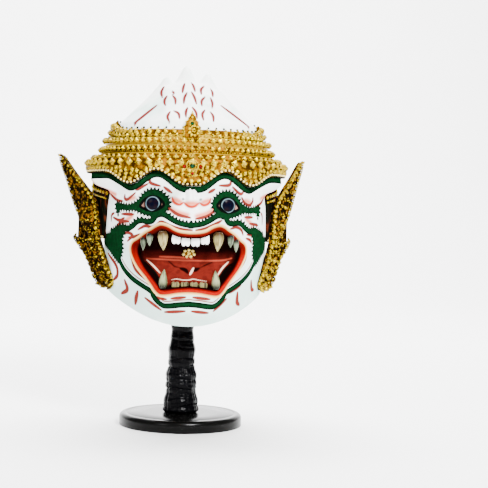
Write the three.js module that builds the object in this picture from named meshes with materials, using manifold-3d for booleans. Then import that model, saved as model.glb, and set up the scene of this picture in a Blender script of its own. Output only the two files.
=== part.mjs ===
// Khon mask of a white monkey warrior on its display post: a hollow papier-mache head with a wide open
// mouth, a stepped gilt coronet, dark side panels, gilt leather ear ornaments, set-in teeth, fangs, eyes
// and gems.
// Millimetres, +Z up. The face looks towards -Y, +X is on the viewer's right, and the origin is the
// middle of the foot's underside.

import * as THREE from "three";
import { mergeVertices } from "three/addons/utils/BufferGeometryUtils.js";
import Module from "manifold-3d";

const wasm = await Module();
wasm.setup();

// Driving dimensions
const GAP = 0.3; // clearance between pieces that touch
const WALL = 4; // papier-mache wall
const SEAT = 1.4; // air between the head and the coronet round it
const LEDGE = 4; // the carved face ends this far under the coronet's edge

// Plan section of the head at each height: [z, half width, depth of the front, depth of the back]
const HEAD = [
  [113, 79, 92, 76],
  [150, 87, 101, 86],
  [200, 92, 106, 98],
  [250, 93, 105, 104],
  [300, 90, 100, 100],
  [341, 78.5, 84, 84],
];
const RIM = { front: 121, side: 155, back: 152, steepness: 2.1 }; // lower edge of the head
const CAP = { base: 341, shoulder: 381, crest: 388, topWidth: 38 };
// The three tufts of hair on the crest: place of the tip and its height over the crest
const TUFTS = [
  { x: -27, height: 9 },
  { x: -3, height: 22 },
  { x: 21, height: 13 },
];
const TUFT = { halfWidth: 9.5, halfDepth: 15 };
// The scales of hair down the front of the cap, one ridge under each tuft
const SCALES = { height: 4, halfWidth: 5, pitch: 12, least: 0.6, outer: [1, 0.85], inner: [0.1, 0.3] };
const CREST_REACH = 0.3; // share of the cap's size over which the crest rounds off

// Lower edge of the coronet, seen from the front: it dips over the nose and the temples.
const CORONET_EDGE = {
  middle: 272,
  arch: 288,
  archX: 37,
  temple: 273,
  templeX: 66,
  side: 286,
  sideX: 92,
  level: 6,
  halfWidth: 93,
};
// The forehead swells forward to meet the coronet's edge and fades out towards the temples
const WELT = { out: 7, below: 13, fade: [0.5, 0.9] };
// Outline of the coronet from its lower edge up: [height, half width at the side]
const CORONET = [
  [293, 113.5],
  [298.5, 112],
  [303, 105.5],
  [308, 98],
  [311, 99.5],
  [315, 97.5],
  [317.5, 92.5],
  [321, 94.5],
  [326, 91],
  [328, 87],
  [331, 89],
  [338, 84.5],
];
const CORONET_TOP = { z: 346, leaf: 5, halfWidth: 82 };
// Over the face the rows above `from` sink, by `drop` at the top.
// `turn` holds the cosines between which the sinking sets in.
const CORONET_DIP = { from: 318, drop: 11.6, turn: [0.1, 0.55] };
const CORONET_DEPTH = 1.03; // depth of the coronet over its width
const CORONET_LIP = { in: 1.5, middle: 4 }; // how far the lower edge turns in, and more in the middle
const MEDALLION = { z: 292, radius: 16, out: 4 };
const SPIKE = { base: 323, shoulder: 334, tip: 352, halfWidth: 9, depth: 7, back: -88.5 };

// Gems on the coronet's front: [name, x, z, radius, half width of the coronet there, colour]
const GEMS = [
  ["spike_gem", 0, 339, 1.9, 0, "green"],
  ["medallion_gem", 0, 293, 2.6, 113.5, "green"],
  ["medallion_gem_left", -8.5, 292, 2, 113.5, "red"],
  ["medallion_gem_right", 8.5, 292, 2, 113.5, "red"],
  ["medallion_gem_top", 0, 303, 2, 107.5, "red"],
  ["medallion_gem_bottom", 0, 285, 2, 113, "red"],
];

// Features of the face, at [x, z] in front view, for the half with x > 0
const FACE_TURN = [-0.1, 0.45]; // cosine of the angle at which the relief starts, and is whole
const EYE = { x: 40, z: 252, radius: 8.8, turn: 0.25, socketDepth: 4, socketRadius: 15 };
const BROW = [
  [6, 263],
  [18, 265],
  [30, 274],
  [40, 277],
  [50, 274],
  [60, 265],
  [67, 262],
  [76, 266],
  [90, 275],
  [104, 279],
];
const BROW_RIDGE = { height: 8, width: 7.5 };
const TEMPLE_FLARE = { out: 17, low: 262, full: 279, start: 0.62, end: 0.92 };
const NOSE = { z: 256.5, height: 13, lobe: 8.4, lobeX: 14 };
const NOSE_BRIDGE = { z: 268, height: 5, radius: 9 };
const MUZZLE = { x: 54, z: 192, halfHeight: 58, height: 20 };
const MOUTH = [
  [0, 219],
  [13, 220],
  [21, 223.5],
  [30, 226],
  [38, 222],
  [47, 216.5],
  [56, 208],
  [56.5, 197],
  [50.5, 184],
  [42, 173],
  [35.5, 165],
  [29, 159],
  [13, 161],
  [0, 162],
];
const MOUTH_FLOOR = -91; // y of the painted back wall of the mouth
const MOUTH_TAPER = 0.86; // size of the back wall over the size of the lips' opening
const MOUTH_REACH = 160; // the hole is cut from this far in front
const MOUTH_RADIUS = 20; // distance from the mouth's middle at which its clearance is exact
const LIP = { height: 6, width: 5.5 };
const CHIN = { z: 137, height: 9, width: 34, tall: 12 };
const CHEEK = { x: 72, z: 222, height: 6, radius: 20 };

const UPPER_INCISOR = { width: 9.6, height: 10, depth: 5, y: -122, pitch: 10.2, root: 216.6, arch: 2.2 };
const LOWER_INCISOR = { width: 9, height: 6, depth: 5, y: -119, pitch: 9.9, base: 164 };
const UPPER_FANG = { x: 29.5, root: 222, tip: 203, radius: 5.6, y: -121 };
const LOWER_FANG = { x: 28, root: 164, tip: 183, radius: 4.6, y: -118 };
const SIDE_TEETH = [
  { x: 43, root: 219.5, length: 12.5, radius: 3.6, y: -112 },
  { x: 49.5, root: 215, length: 13, radius: 3.2, y: -105 },
];
const FANG_CURL = 2; // how far a fang's tip curls forwards
const FLOWER = { z: 199.5, radius: 8, petals: 7, thickness: 3.5, flat: 0.65, notch: 0.22 };

// Dark leather panel on the side of the head, between the face and the ear ornament. It stands further
// out towards its back edge. Angles are in degrees round the head, with 0 in front.
const PANEL = { low: 212, high: 279, frontLow: 77, front: 68, back: 100, frontOut: 4, backOut: 16, inside: 2 };
const PANEL_STEPS = 6;

// Ear ornament: outline in its own plane, [distance outwards, height], clockwise from the low end
const EAR = { x: 92, y: -36, thickness: 5, swingLeft: 34, swingRight: 46 };
const EAR_OUTLINE = [
  [-9, 158],
  [-16, 164],
  [-11, 173],
  [-4, 184],
  [0, 194.5],
  [4.5, 206],
  [8.5, 217],
  [8.5, 228],
  [9.5, 239],
  [12.5, 252],
  [20, 263],
  [30, 273],
  [45, 290],
  [56, 303],
  [62, 307],
  [63.5, 300],
  [60.5, 290],
  [55, 279],
  [50.5, 268],
  [46.5, 257],
  [41, 246],
  [35.5, 236],
  [29, 225],
  [15, 209.5],
  [42, 213],
  [33, 203],
  [25, 192.5],
  [19, 182],
  [13, 169],
  [5, 160.5],
];
// Raised scrolls of the ear ornament: [distance outwards, height, radius]
const EAR_SCROLLS = [
  [0, 168, 8],
  [8.5, 184, 9],
  [15, 201, 9],
  [15, 220, 8],
  [23, 235, 10],
  [28, 251, 11],
  [38, 268, 9],
  [48.5, 283, 7],
  [56.5, 296, 5],
];

const POST = { bottom: 20.5, neck: 13, top: 12.5, neckZ: 112, bareZ: 160, topZ: 376, sides: 12 };
const POST_STEPS = [0, 0.1, 0.22, 0.34, 0.45, 0.55, 0.66, 0.77, 0.88, 1];
const FOOT = { radius: 70, height: 14, edge: 3 };

// Grid sizes of the head
const COLUMNS = 44;
const FRONT_DENSITY = 0.64; // 0 spaces the columns evenly; near 1 gathers them over the face
const FACE_ROWS = 29;
const CAP_ROWS = 8;

// The head's inside: share of the height of each row, room left for the mouth's wall, and the crown
const INSIDE_STEPS = [0, 0.12, 0.27, 0.42, 0.57, 0.75, 1];
const MOUTH_ROOM = { x: 66, halfHeight: 50, turn: [0.1, 0.4] };
const CROWN = { drop: 8, steps: [0.3, 0.6], full: 0.55 };

const CLEAR = 0.001; // smallest length that still counts

// Small helpers
const clamp = (v, low, high) => Math.min(high, Math.max(low, v));
const smooth = (low, high, v) => {
  const t = clamp((v - low) / (high - low), 0, 1);
  return t * t * (3 - 2 * t);
};
const bell = (v, width) => Math.exp(-((v / width) ** 2));
const plateau = (v, width) => Math.exp(-((v / width) ** 4));
const mix = (a, b, t) => a + (b - a) * t;

// Value in column `column` of a table whose first column climbs
function stationAt(table, at, column) {
  const next = table.findIndex((row) => row[0] >= at);
  if (next === 0) return table[0][column];
  if (next < 0) return table[table.length - 1][column];
  const [low, high] = [table[next - 1], table[next]];
  return mix(low[column], high[column], (at - low[0]) / (high[0] - low[0]));
}

// Distance from a point to a smooth line through the given points
function lineField(points, closed = false) {
  const line = new THREE.CatmullRomCurve3(
    points.map(([x, z]) => new THREE.Vector3(x, 0, z)),
    closed,
  ).getPoints(points.length * 5);
  const part = new THREE.Line3();
  const near = new THREE.Vector3();
  return (x, z) => {
    const p = new THREE.Vector3(x, 0, z);
    let best = Infinity;
    for (let i = 1; i < line.length; i++) {
      part.set(line[i - 1], line[i]).closestPointToPoint(p, true, near);
      best = Math.min(best, near.distanceTo(p));
    }
    return best;
  };
}

const mouthOutline = [...MOUTH, ...MOUTH.slice(1, -1).reverse().map(([x, z]) => [-x, z])];
const toBrow = lineField(BROW);
const toMouth = lineField(mouthOutline, true);

// Height of the coronet's lower edge at an angle round a ring of that half width: wavy over the
// brows, level behind
function coronetEdge(angle, halfWidth) {
  const e = CORONET_EDGE;
  if (Math.cos(angle) < 0) return e.side;
  const across = Math.abs(halfWidth * Math.sin(angle));
  const wave = (from, to, start, stop) => {
    const t = clamp((across - start) / (stop - start), 0, 1);
    return mix(from, to, (1 - Math.cos(Math.PI * t)) / 2);
  };
  if (across < e.archX) return wave(e.middle, e.arch, e.level, e.archX);
  if (across < e.templeX) return wave(e.arch, e.temple, e.archX, e.templeX);
  return wave(e.temple, e.side, e.templeX, e.sideX);
}

// Half width of the swelling temples at full height, where the face meets the coronet
function templeWidth(sine) {
  return CORONET_EDGE.halfWidth + TEMPLE_FLARE.out * smooth(TEMPLE_FLARE.start, TEMPLE_FLARE.end, sine);
}

// Height of the head's lower edge: lowest at the chin, level round the sides and the nape
function rimHeight(angle) {
  const sine = Math.abs(Math.sin(angle));
  if (Math.cos(angle) < 0) return mix(RIM.back, RIM.side, sine);
  return mix(RIM.front, RIM.side, sine ** RIM.steepness);
}

// How far the carved face stands out towards the viewer, at a place in front view
function faceRelief(x, z) {
  const across = Math.abs(x);
  const browHeight = BROW_RIDGE.height * plateau(toBrow(across, z), BROW_RIDGE.width);
  const muzzle = MUZZLE.height * plateau(x, MUZZLE.x) * plateau(z - MUZZLE.z, MUZZLE.halfHeight);
  const lips = LIP.height * bell(toMouth(x, z), LIP.width);
  const lobes = [-NOSE.lobeX, 0, NOSE.lobeX].map((at) => bell(Math.hypot(x - at, z - NOSE.z), NOSE.lobe));
  const bridge = NOSE_BRIDGE.height * bell(Math.hypot(x, z - NOSE_BRIDGE.z), NOSE_BRIDGE.radius);
  const nose = NOSE.height * Math.max(...lobes) + bridge;
  const socket = -EYE.socketDepth * bell(Math.hypot(across - EYE.x, z - EYE.z), EYE.socketRadius);
  const chin = CHIN.height * bell(x, CHIN.width) * bell(z - CHIN.z, CHIN.tall);
  const cheek = CHEEK.height * bell(Math.hypot(across - CHEEK.x, z - CHEEK.z), CHEEK.radius);
  return browHeight + muzzle + lips + nose + socket + chin + cheek;
}

// A point of the plain head at an angle round Z (0 in front) and a height, moved out by `grow`
function headPoint(angle, z, grow) {
  const a = stationAt(HEAD, z, 1) + grow;
  const b = stationAt(HEAD, z, Math.cos(angle) > 0 ? 2 : 3) + grow;
  return new THREE.Vector3(a * Math.sin(angle), -b * Math.cos(angle), z);
}

// The carved head between its rim and the coronet's edge
function facePoint(angle, rise, grow) {
  const sine = Math.cos(angle) < 0 ? 1 : Math.abs(Math.sin(angle));
  const edge = coronetEdge(angle, templeWidth(sine)) - LEDGE;
  const z = mix(rimHeight(angle), edge, rise);
  const p = headPoint(angle, z, grow);
  const front = smooth(...FACE_TURN, Math.cos(angle));
  const swell = templeWidth(sine) - CORONET_EDGE.halfWidth;
  const flare = swell * smooth(TEMPLE_FLARE.low, TEMPLE_FLARE.full, z);
  const welt = WELT.out * smooth(edge - WELT.below, edge, z) * (1 - smooth(...WELT.fade, sine));
  p.x += flare * Math.sin(angle);
  p.y -= flare * Math.cos(angle) + (faceRelief(p.x, z) + welt) * front;
  return p;
}

// Height of the cap's tufts at a place seen from above
function tuftHeight(x, y) {
  const heights = TUFTS.map((t) => t.height * bell(x - t.x, TUFT.halfWidth) * plateau(y, TUFT.halfDepth));
  return Math.max(...heights);
}

// The cap above the coronet: a cone up to the crest, with the hair standing up on it
function capPoint(angle, inward, grow) {
  const size = 1 - inward;
  const a = mix(0, stationAt(HEAD, CAP.base, 1), size) + grow * size;
  const b = mix(0, stationAt(HEAD, CAP.base, 2), size) + grow * size;
  const [x, y] = [a * Math.sin(angle), -b * Math.cos(angle)];
  const narrow = CAP.topWidth / stationAt(HEAD, CAP.base, 1);
  const cone = mix(CAP.base, CAP.shoulder, clamp((1 - size) / (1 - narrow), 0, 1));
  const crest = cone + (CAP.crest - CAP.shoulder) * smooth(narrow, CREST_REACH, size);
  const ridges = TUFTS.map((t) => bell(x - t.x, SCALES.halfWidth)).reduce((sum, v) => sum + v, 0);
  const wave = mix(SCALES.least, 1, Math.cos((2 * Math.PI * y) / SCALES.pitch));
  const inFront = smooth(0, 0.5, Math.cos(angle)) * smooth(...SCALES.outer, size);
  const scales = SCALES.height * ridges * wave * inFront * smooth(...SCALES.inner, size);
  return new THREE.Vector3(x, y, crest + tuftHeight(x, y) + scales + grow);
}

// Rows of a closed skin over the head, from the rim up; the last row is the pole
function headRows(grow) {
  const rows = [];
  const angles = columnAngles();
  for (let i = 0; i <= FACE_ROWS; i++) rows.push(angles.map((a) => facePoint(a, i / FACE_ROWS, grow)));
  const lift = (a, t) => mix(coronetEdge(a, CORONET_EDGE.halfWidth) - LEDGE / 2, CAP.base, t);
  for (const t of [0, 0.4]) rows.push(angles.map((a) => headPoint(a, lift(a, t), grow)));
  for (let i = 0; i < CAP_ROWS; i++) rows.push(angles.map((a) => capPoint(a, i / CAP_ROWS, grow)));
  rows.push([capPoint(0, 1, grow)]);
  return rows;
}

// Angles round the head, closer together over the face
function columnAngles() {
  return Array.from({ length: COLUMNS }, (_, i) => {
    const turn = (2 * Math.PI * (i + 0.5)) / COLUMNS - Math.PI;
    return turn - FRONT_DENSITY * Math.sin(turn);
  });
}

// Rows of the head's smooth inside, with room in front for the wall of the mouth
function insideRows() {
  const angles = columnAngles();
  const crownZ = CAP.base - CROWN.drop;
  const rows = INSIDE_STEPS.map((t) =>
    angles.map((a) => {
      const p = headPoint(a, mix(rimHeight(a), crownZ, t), -WALL);
      const across = plateau(p.x, MOUTH_ROOM.x) * plateau(p.z - MUZZLE.z, MOUTH_ROOM.halfHeight);
      const behindMouth = across * smooth(...MOUTH_ROOM.turn, Math.cos(a));
      p.y = mix(p.y, Math.max(p.y, MOUTH_FLOOR + WALL), behindMouth);
      return p;
    }),
  );
  for (const inward of CROWN.steps) {
    const a = (stationAt(HEAD, CAP.base, 1) - WALL) * (1 - inward);
    const b = (stationAt(HEAD, CAP.base, 2) - WALL) * (1 - inward);
    const z = mix(crownZ, CAP.shoulder - WALL, clamp(inward / CROWN.full, 0, 1));
    rows.push(angles.map((turn) => new THREE.Vector3(a * Math.sin(turn), -b * Math.cos(turn), z)));
  }
  rows.push([new THREE.Vector3(0, 0, CAP.shoulder - WALL)]);
  return rows;
}

// Geometry from rows of points round Z; a row of one point is a pole
function geometryOfRows(rows, joinEnds = false) {
  const points = rows.flat();
  const starts = rows.map((_, i) => rows.slice(0, i).reduce((sum, r) => sum + r.length, 0));
  const faces = [];
  const pairs = rows.slice(1).map((_, i) => [i, i + 1]);
  if (joinEnds) pairs.push([rows.length - 1, 0]);
  for (const [low, high] of pairs) {
    const count = Math.max(rows[low].length, rows[high].length);
    for (let k = 0; k < count; k++) {
      const next = (k + 1) % count;
      const at = (row, column) => starts[row] + (rows[row].length === 1 ? 0 : column);
      const corners = [at(low, k), at(low, next), at(high, next), at(high, k)];
      if (rows[low].length > 1) faces.push(corners[0], corners[1], corners[3]);
      if (rows[high].length > 1) faces.push(corners[1], corners[2], corners[3]);
      if (rows[high].length === 1 && rows[low].length === 1) faces.length -= 3;
    }
  }
  const geometry = new THREE.BufferGeometry().setFromPoints(points);
  geometry.setIndex(faces);
  return geometry;
}

// A manifold solid from a closed geometry
function solidOf(geometry) {
  const bare = geometry.clone();
  bare.deleteAttribute("normal");
  bare.deleteAttribute("uv");
  const merged = mergeVertices(bare, CLEAR);
  return new wasm.Manifold(
    new wasm.Mesh({
      numProp: 3,
      vertProperties: merged.attributes.position.array,
      triVerts: new Uint32Array(merged.index.array),
    }),
  );
}

// A geometry from a manifold solid
function geometryOf(solid) {
  const { vertProperties, triVerts, numProp } = solid.getMesh();
  const positions = new Float32Array((vertProperties.length / numProp) * 3);
  for (let i = 0; i < positions.length / 3; i++)
    positions.set(vertProperties.slice(i * numProp, i * numProp + 3), i * 3);
  const geometry = new THREE.BufferGeometry();
  geometry.setAttribute("position", new THREE.BufferAttribute(positions, 3));
  geometry.setIndex(new THREE.BufferAttribute(new Uint32Array(triVerts), 1));
  geometry.computeVertexNormals();
  return geometry;
}

// A flat outline in front view, given a depth along +Y from `y`
function frontPlate(outline, y, depth) {
  const shape = new THREE.Shape(outline.map(([x, z]) => new THREE.Vector2(x, z)));
  const geometry = new THREE.ExtrudeGeometry(shape, { depth, bevelEnabled: false, curveSegments: 6 });
  return geometry.rotateX(Math.PI / 2).translate(0, y + depth, 0);
}

// The hole of the mouth, drawn in by `shrink`
function mouthSolid(shrink) {
  const corners = [...mouthOutline, mouthOutline[0]].map((p) => new THREE.Vector2(...p));
  const line = new THREE.SplineCurve(corners);
  const outline = line.getPoints(44).slice(0, -1);
  const depth = MOUTH_REACH + MOUTH_FLOOR - shrink;
  const hole = frontPlate(outline.map((p) => [p.x, p.y]), -MOUTH_REACH, depth);
  const position = hole.attributes.position;
  for (let i = 0; i < position.count; i++) {
    const taper = position.getY(i) > MOUTH_FLOOR - 1 ? MOUTH_TAPER : 1;
    const scale = taper * (1 - shrink / MOUTH_RADIUS);
    position.setX(i, position.getX(i) * scale);
    position.setZ(i, MUZZLE.z + (position.getZ(i) - MUZZLE.z) * scale);
  }
  return solidOf(hole);
}

function finish(color, roughness, metalness = 0) {
  return new THREE.MeshStandardMaterial({ color, roughness, metalness });
}
const WHITE_LACQUER = finish(0xe9ecec, 0.3);
const GILT = finish(0xc99a3a, 0.35, 0.9);
const IVORY = finish(0xd8cfa8, 0.45);
const BRIGHT_ENAMEL = finish(0xf4f4ee, 0.3);
const EYE_GLASS = finish(0x1c2740, 0.1);
const RED_GEM = finish(0xb02018, 0.15);
const GREEN_GEM = finish(0x1f5a35, 0.15);
const BLACK_WRAP = finish(0x0b0b0c, 0.25);
const DARK_LEATHER = finish(0x2a1710, 0.3);

const mask = new THREE.Group();

function addPiece(name, geometry, material) {
  const mesh = new THREE.Mesh(geometry, material);
  mesh.name = name;
  mask.add(mesh);
  return mesh;
}

// Mask shell

const headSkin = solidOf(geometryOfRows([...insideRows().reverse(), ...headRows(0)]));

function makeShell() {
  let shell = headSkin.subtract(mouthSolid(0));
  for (const side of [-1, 1]) shell = shell.subtract(solidOf(eyeSocket(side)));
  return geometryOf(shell);
}

// Depth of the carved surface at a place in front view
function surfaceY(x, z) {
  const sine = clamp(x / stationAt(HEAD, z, 1), -0.98, 0.98);
  return -stationAt(HEAD, z, 2) * Math.sqrt(1 - sine * sine) - faceRelief(x, z);
}

// A turned solid that looks forwards at the place of an eye, from its profile of [radius, height]
function eyeDisc(side, radius, profile) {
  const points = profile.map(([r, y]) => new THREE.Vector2(r * radius, y));
  const lathe = new THREE.LatheGeometry(points, 16);
  const y = surfaceY(EYE.x * side, EYE.z);
  return lathe.rotateX(Math.PI).rotateZ(side * EYE.turn).translate(EYE.x * side, y, EYE.z);
}

const eyeSocket = (side) => eyeDisc(side, EYE.radius + GAP, [[0, -3], [1, -3], [1, 20], [0, 20]]);

// A glass eye: a lens that stands out of its socket
function makeEye(side) {
  return eyeDisc(side, EYE.radius, [[0, -2.6], [1, -2.6], [1, 0.6], [0.8, 2], [0.45, 3], [0, 3.3]]);
}

// Coronet

const CORONET_COLUMNS = 60;

// A point of the coronet's outside at an angle and a row; the front swells round the medallion
function coronetPoint(angle, z, halfWidth) {
  const x = halfWidth * Math.sin(angle);
  const { out, z: middle, radius } = MEDALLION;
  const medallion = out * bell(x, radius) * bell(z - middle, radius) * smooth(0, 0.5, Math.cos(angle));
  return new THREE.Vector3(x, -halfWidth * CORONET_DEPTH * Math.cos(angle) - medallion, z);
}

// Height of a row of the coronet at an angle
function coronetHeight(angle, z) {
  const { from, drop, turn } = CORONET_DIP;
  const share = Math.max(0, (z - from) / (CORONET_TOP.z - from));
  return z - drop * share * smooth(turn[0], turn[1], Math.cos(angle));
}

function makeCoronet() {
  const angles = Array.from({ length: CORONET_COLUMNS }, (_, k) => (2 * Math.PI * k) / CORONET_COLUMNS);
  const edge = (a) => {
    const halfWidth = CORONET[0][1] - CORONET_LIP.in - CORONET_LIP.middle * smooth(0.75, 1, Math.cos(a));
    return coronetPoint(a, coronetEdge(a, halfWidth), halfWidth);
  };
  const outside = [angles.map(edge)];
  const raised = (a, height, halfWidth) => coronetPoint(a, coronetHeight(a, height), halfWidth);
  for (const [height, halfWidth] of CORONET) outside.push(angles.map((a) => raised(a, height, halfWidth)));
  const { z, leaf, halfWidth } = CORONET_TOP;
  const leafTip = (k) => z + (k % 2 ? leaf : -leaf) / 2;
  outside.push(angles.map((a, k) => raised(a, leafTip(k), halfWidth)));
  const insideTop = angles.map((a, k) => {
    const p = headPoint(a, coronetHeight(a, z), SEAT);
    return p.setZ(coronetHeight(a, leafTip(k)));
  });
  const inside = [334, 303].map((height) => angles.map((a) => headPoint(a, coronetHeight(a, height), SEAT)));
  const insideEdge = angles.map((a) => headPoint(a, coronetEdge(a, CORONET_EDGE.halfWidth), SEAT));
  const ring = solidOf(geometryOfRows([...outside, insideTop, ...inside, insideEdge], true));
  return ring.add(solidOf(makeSpike()));
}

// The pointed leaf that stands up from the middle of the coronet
function makeSpike() {
  const middle = (SPIKE.shoulder + SPIKE.tip) / 2;
  const shape = new THREE.Shape();
  shape.moveTo(0, SPIKE.tip);
  shape.quadraticCurveTo(-SPIKE.halfWidth * 0.6, middle + 3, -SPIKE.halfWidth, SPIKE.shoulder);
  shape.lineTo(-SPIKE.halfWidth * 0.9, SPIKE.base);
  shape.lineTo(SPIKE.halfWidth * 0.9, SPIKE.base);
  shape.lineTo(SPIKE.halfWidth, SPIKE.shoulder);
  shape.quadraticCurveTo(SPIKE.halfWidth * 0.6, middle + 3, 0, SPIKE.tip);
  const settings = { depth: SPIKE.depth, bevelEnabled: false, curveSegments: 4 };
  const leaf = new THREE.ExtrudeGeometry(shape, settings);
  return leaf.rotateX(Math.PI / 2).translate(0, SPIKE.back, 0);
}

// Side panels

const underHead = [new THREE.Vector3(0, 0, RIM.front + 20)];
const clearHead = solidOf(geometryOfRows([underHead, ...headRows(GAP)]));

// The panel on the side with x > 0, before it is cut to the head, made larger by `grow`
function panelBlock(grow) {
  const at = (degrees, z, out) => headPoint(THREE.MathUtils.degToRad(degrees), z, out);
  const shares = Array.from({ length: PANEL_STEPS + 1 }, (_, i) => i / PANEL_STEPS);
  const section = (z) => {
    const height = (z - PANEL.low) / (PANEL.high - PANEL.low);
    const degrees = (t) => mix(mix(PANEL.frontLow, PANEL.front, height) - grow, PANEL.back + grow, t);
    const outer = shares.map((t) => at(degrees(t), z, mix(PANEL.frontOut, PANEL.backOut, t) + grow));
    const inner = shares.map((t) => at(degrees(t), z, -PANEL.inside));
    return [...outer, ...inner.reverse()];
  };
  const heights = shares.map((t) => mix(PANEL.low - grow, PANEL.high, t));
  const middle = (PANEL.frontLow + PANEL.back) / 2;
  const [bottom, top] = [heights[0], PANEL.high].map((z) => [at(middle, z, PANEL.inside)]);
  return solidOf(geometryOfRows([bottom, ...heights.map(section), top]));
}

function makeSidePanel(side) {
  const panel = geometryOf(panelBlock(0).subtract(clearHead));
  if (side < 0) mirrorX(panel);
  return panel;
}

// Ear ornaments

function makeEarOrnament(side, swing) {
  const outline = EAR_OUTLINE.map(([u, z]) => new THREE.Vector2(u, z));
  const plate = new THREE.ExtrudeGeometry(new THREE.Shape(outline), {
    depth: EAR.thickness,
    bevelEnabled: false,
  }).rotateX(Math.PI / 2);
  let solid = solidOf(plate.translate(0, EAR.thickness, 0));
  for (const [u, z, radius] of EAR_SCROLLS) solid = solid.add(solidOf(scrollBoss(u, z, radius)));
  const turned = geometryOf(solid)
    .rotateZ(THREE.MathUtils.degToRad(swing))
    .translate(EAR.x, EAR.y, 0);
  const ornament = geometryOf(solidOf(turned).subtract(clearHead).subtract(panelBlock(GAP)));
  if (side < 0) mirrorX(ornament);
  return ornament;
}

// A raised scroll of the carved leather: a low dome in front of the plate
function scrollBoss(u, z, radius) {
  const profile = [[0, -2], [radius * 0.8, -2], [radius * 0.8, 0.6], [radius * 0.5, 2.6], [0, 3.4]];
  const dome = new THREE.LatheGeometry(profile.map((p) => new THREE.Vector2(...p)), 6);
  return dome.rotateX(Math.PI).translate(u, 0, z);
}

// Mirrors a geometry left to right and keeps its faces outwards
function mirrorX(geometry) {
  const position = geometry.attributes.position;
  for (let i = 0; i < position.count; i++) position.setX(i, -position.getX(i));
  const index = geometry.index;
  for (let i = 0; i < index.count; i += 3) {
    const first = index.getX(i);
    index.setX(i, index.getX(i + 1));
    index.setX(i + 1, first);
  }
}

// Teeth and what is set in the mouth

const lips = headSkin.subtract(mouthSolid(GAP));
const setInMouth = (tooth) => geometryOf(solidOf(tooth).subtract(lips));

// A cutting tooth with two rounded lobes at its edge; `way` is +1 for an edge that points up
function makeIncisor(x, root, size, way) {
  const half = size.width / 2;
  const steps = 6;
  const outline = [[x - half * 0.92, root], [x - half, root + way * size.height * 0.5]];
  for (let i = 0; i <= steps; i++) {
    const t = (2 * i) / steps - 1;
    const lobe = 0.86 + 0.14 * Math.abs(Math.sin(Math.PI * t));
    outline.push([x + half * 0.92 * t, root + way * size.height * lobe]);
  }
  outline.push([x + half, root + way * size.height * 0.5], [x + half * 0.92, root]);
  return frontPlate(way > 0 ? outline.reverse() : outline, size.y, size.depth);
}

// A fang: a cone from its root that curls forwards a little at the tip
function makeFang(x, root, tip, radius, y, lean) {
  const length = tip - root;
  const profile = [[0, 0], [0.85, 0], [1, 0.25], [0.72, 0.6], [0.35, 0.86], [0, 1]];
  const points = profile.map(([r, t]) => new THREE.Vector2(r * radius, t * Math.abs(length)));
  const lathe = new THREE.LatheGeometry(points, 7);
  lathe.rotateX(length > 0 ? Math.PI / 2 : -Math.PI / 2);
  const position = lathe.attributes.position;
  for (let i = 0; i < position.count; i++) {
    const t = position.getZ(i) / length;
    position.setX(i, position.getX(i) + lean * t * t);
    position.setY(i, position.getY(i) - FANG_CURL * t * t);
  }
  return lathe.translate(x, y, root);
}

function makeFlower() {
  const outline = Array.from({ length: FLOWER.petals * 4 }, (_, i) => {
    const angle = (2 * Math.PI * i) / (FLOWER.petals * 4);
    const radius = FLOWER.radius * mix(1 - FLOWER.notch, 1, Math.cos(FLOWER.petals * angle));
    return [radius * Math.cos(angle), FLOWER.z + FLOWER.flat * radius * Math.sin(angle)];
  });
  return frontPlate(outline, MOUTH_FLOOR - GAP - FLOWER.thickness, FLOWER.thickness);
}

// A round gem with a facetted dome that looks forwards
function makeGem(x, z, radius, y) {
  const profile = [[0, -1], [1, -1], [1, 0.1], [0.6, 0.8], [0, 1]];
  const points = profile.map(([r, t]) => new THREE.Vector2(r * radius, t * radius * 0.7));
  return new THREE.LatheGeometry(points, 7).rotateX(Math.PI).translate(x, y, z);
}

// Stand

// The post is bound in crinkled black sheet, so its width wanders a little up its length
function makePost() {
  const rows = POST_STEPS.map((t) => {
    const z = mix(FOOT.height + GAP, POST.neckZ, t);
    const crinkle = 0.7 * Math.sin(19 * t) + 0.4 * Math.sin(43 * t + 1);
    return [mix(POST.bottom, POST.neck, t ** 0.8) + crinkle, z];
  });
  rows.push([POST.neck, POST.bareZ], [POST.top, POST.topZ - 8], [POST.top * 0.7, POST.topZ - 2]);
  const profile = [[0, rows[0][1]], ...rows, [0, POST.topZ - GAP]].map((p) => new THREE.Vector2(...p));
  return new THREE.LatheGeometry(profile, POST.sides).rotateX(Math.PI / 2);
}

function makeFoot() {
  const { radius, height, edge } = FOOT;
  const profile = [[0, 0], [radius, 0], [radius, height - edge], [radius - edge, height], [0, height]];
  return new THREE.LatheGeometry(profile.map((p) => new THREE.Vector2(...p)), 32).rotateX(Math.PI / 2);
}

addPiece("mask_shell", makeShell(), WHITE_LACQUER);
const coronet = makeCoronet();
addPiece("coronet", geometryOf(coronet), GILT);

for (const [side, word, swing] of [[-1, "left", EAR.swingLeft], [1, "right", EAR.swingRight]]) {
  addPiece(`side_panel_${word}`, makeSidePanel(side), DARK_LEATHER);
  addPiece(`ear_ornament_${word}`, makeEarOrnament(side, swing), GILT);
  addPiece(`eye_${word}`, makeEye(side), EYE_GLASS);
  for (const [row, fang, lean] of [["upper", UPPER_FANG, -side], ["lower", LOWER_FANG, -side]]) {
    const cone = makeFang(side * fang.x, fang.root, fang.tip, fang.radius, fang.y, lean);
    addPiece(`${row}_fang_${word}`, setInMouth(cone), IVORY);
  }
  SIDE_TEETH.forEach((tooth, i) => {
    const cone = makeFang(side * tooth.x, tooth.root, tooth.root - tooth.length, tooth.radius, tooth.y, 0);
    addPiece(`side_tooth_${word}_${i + 1}`, setInMouth(cone), IVORY);
  });
}

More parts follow.
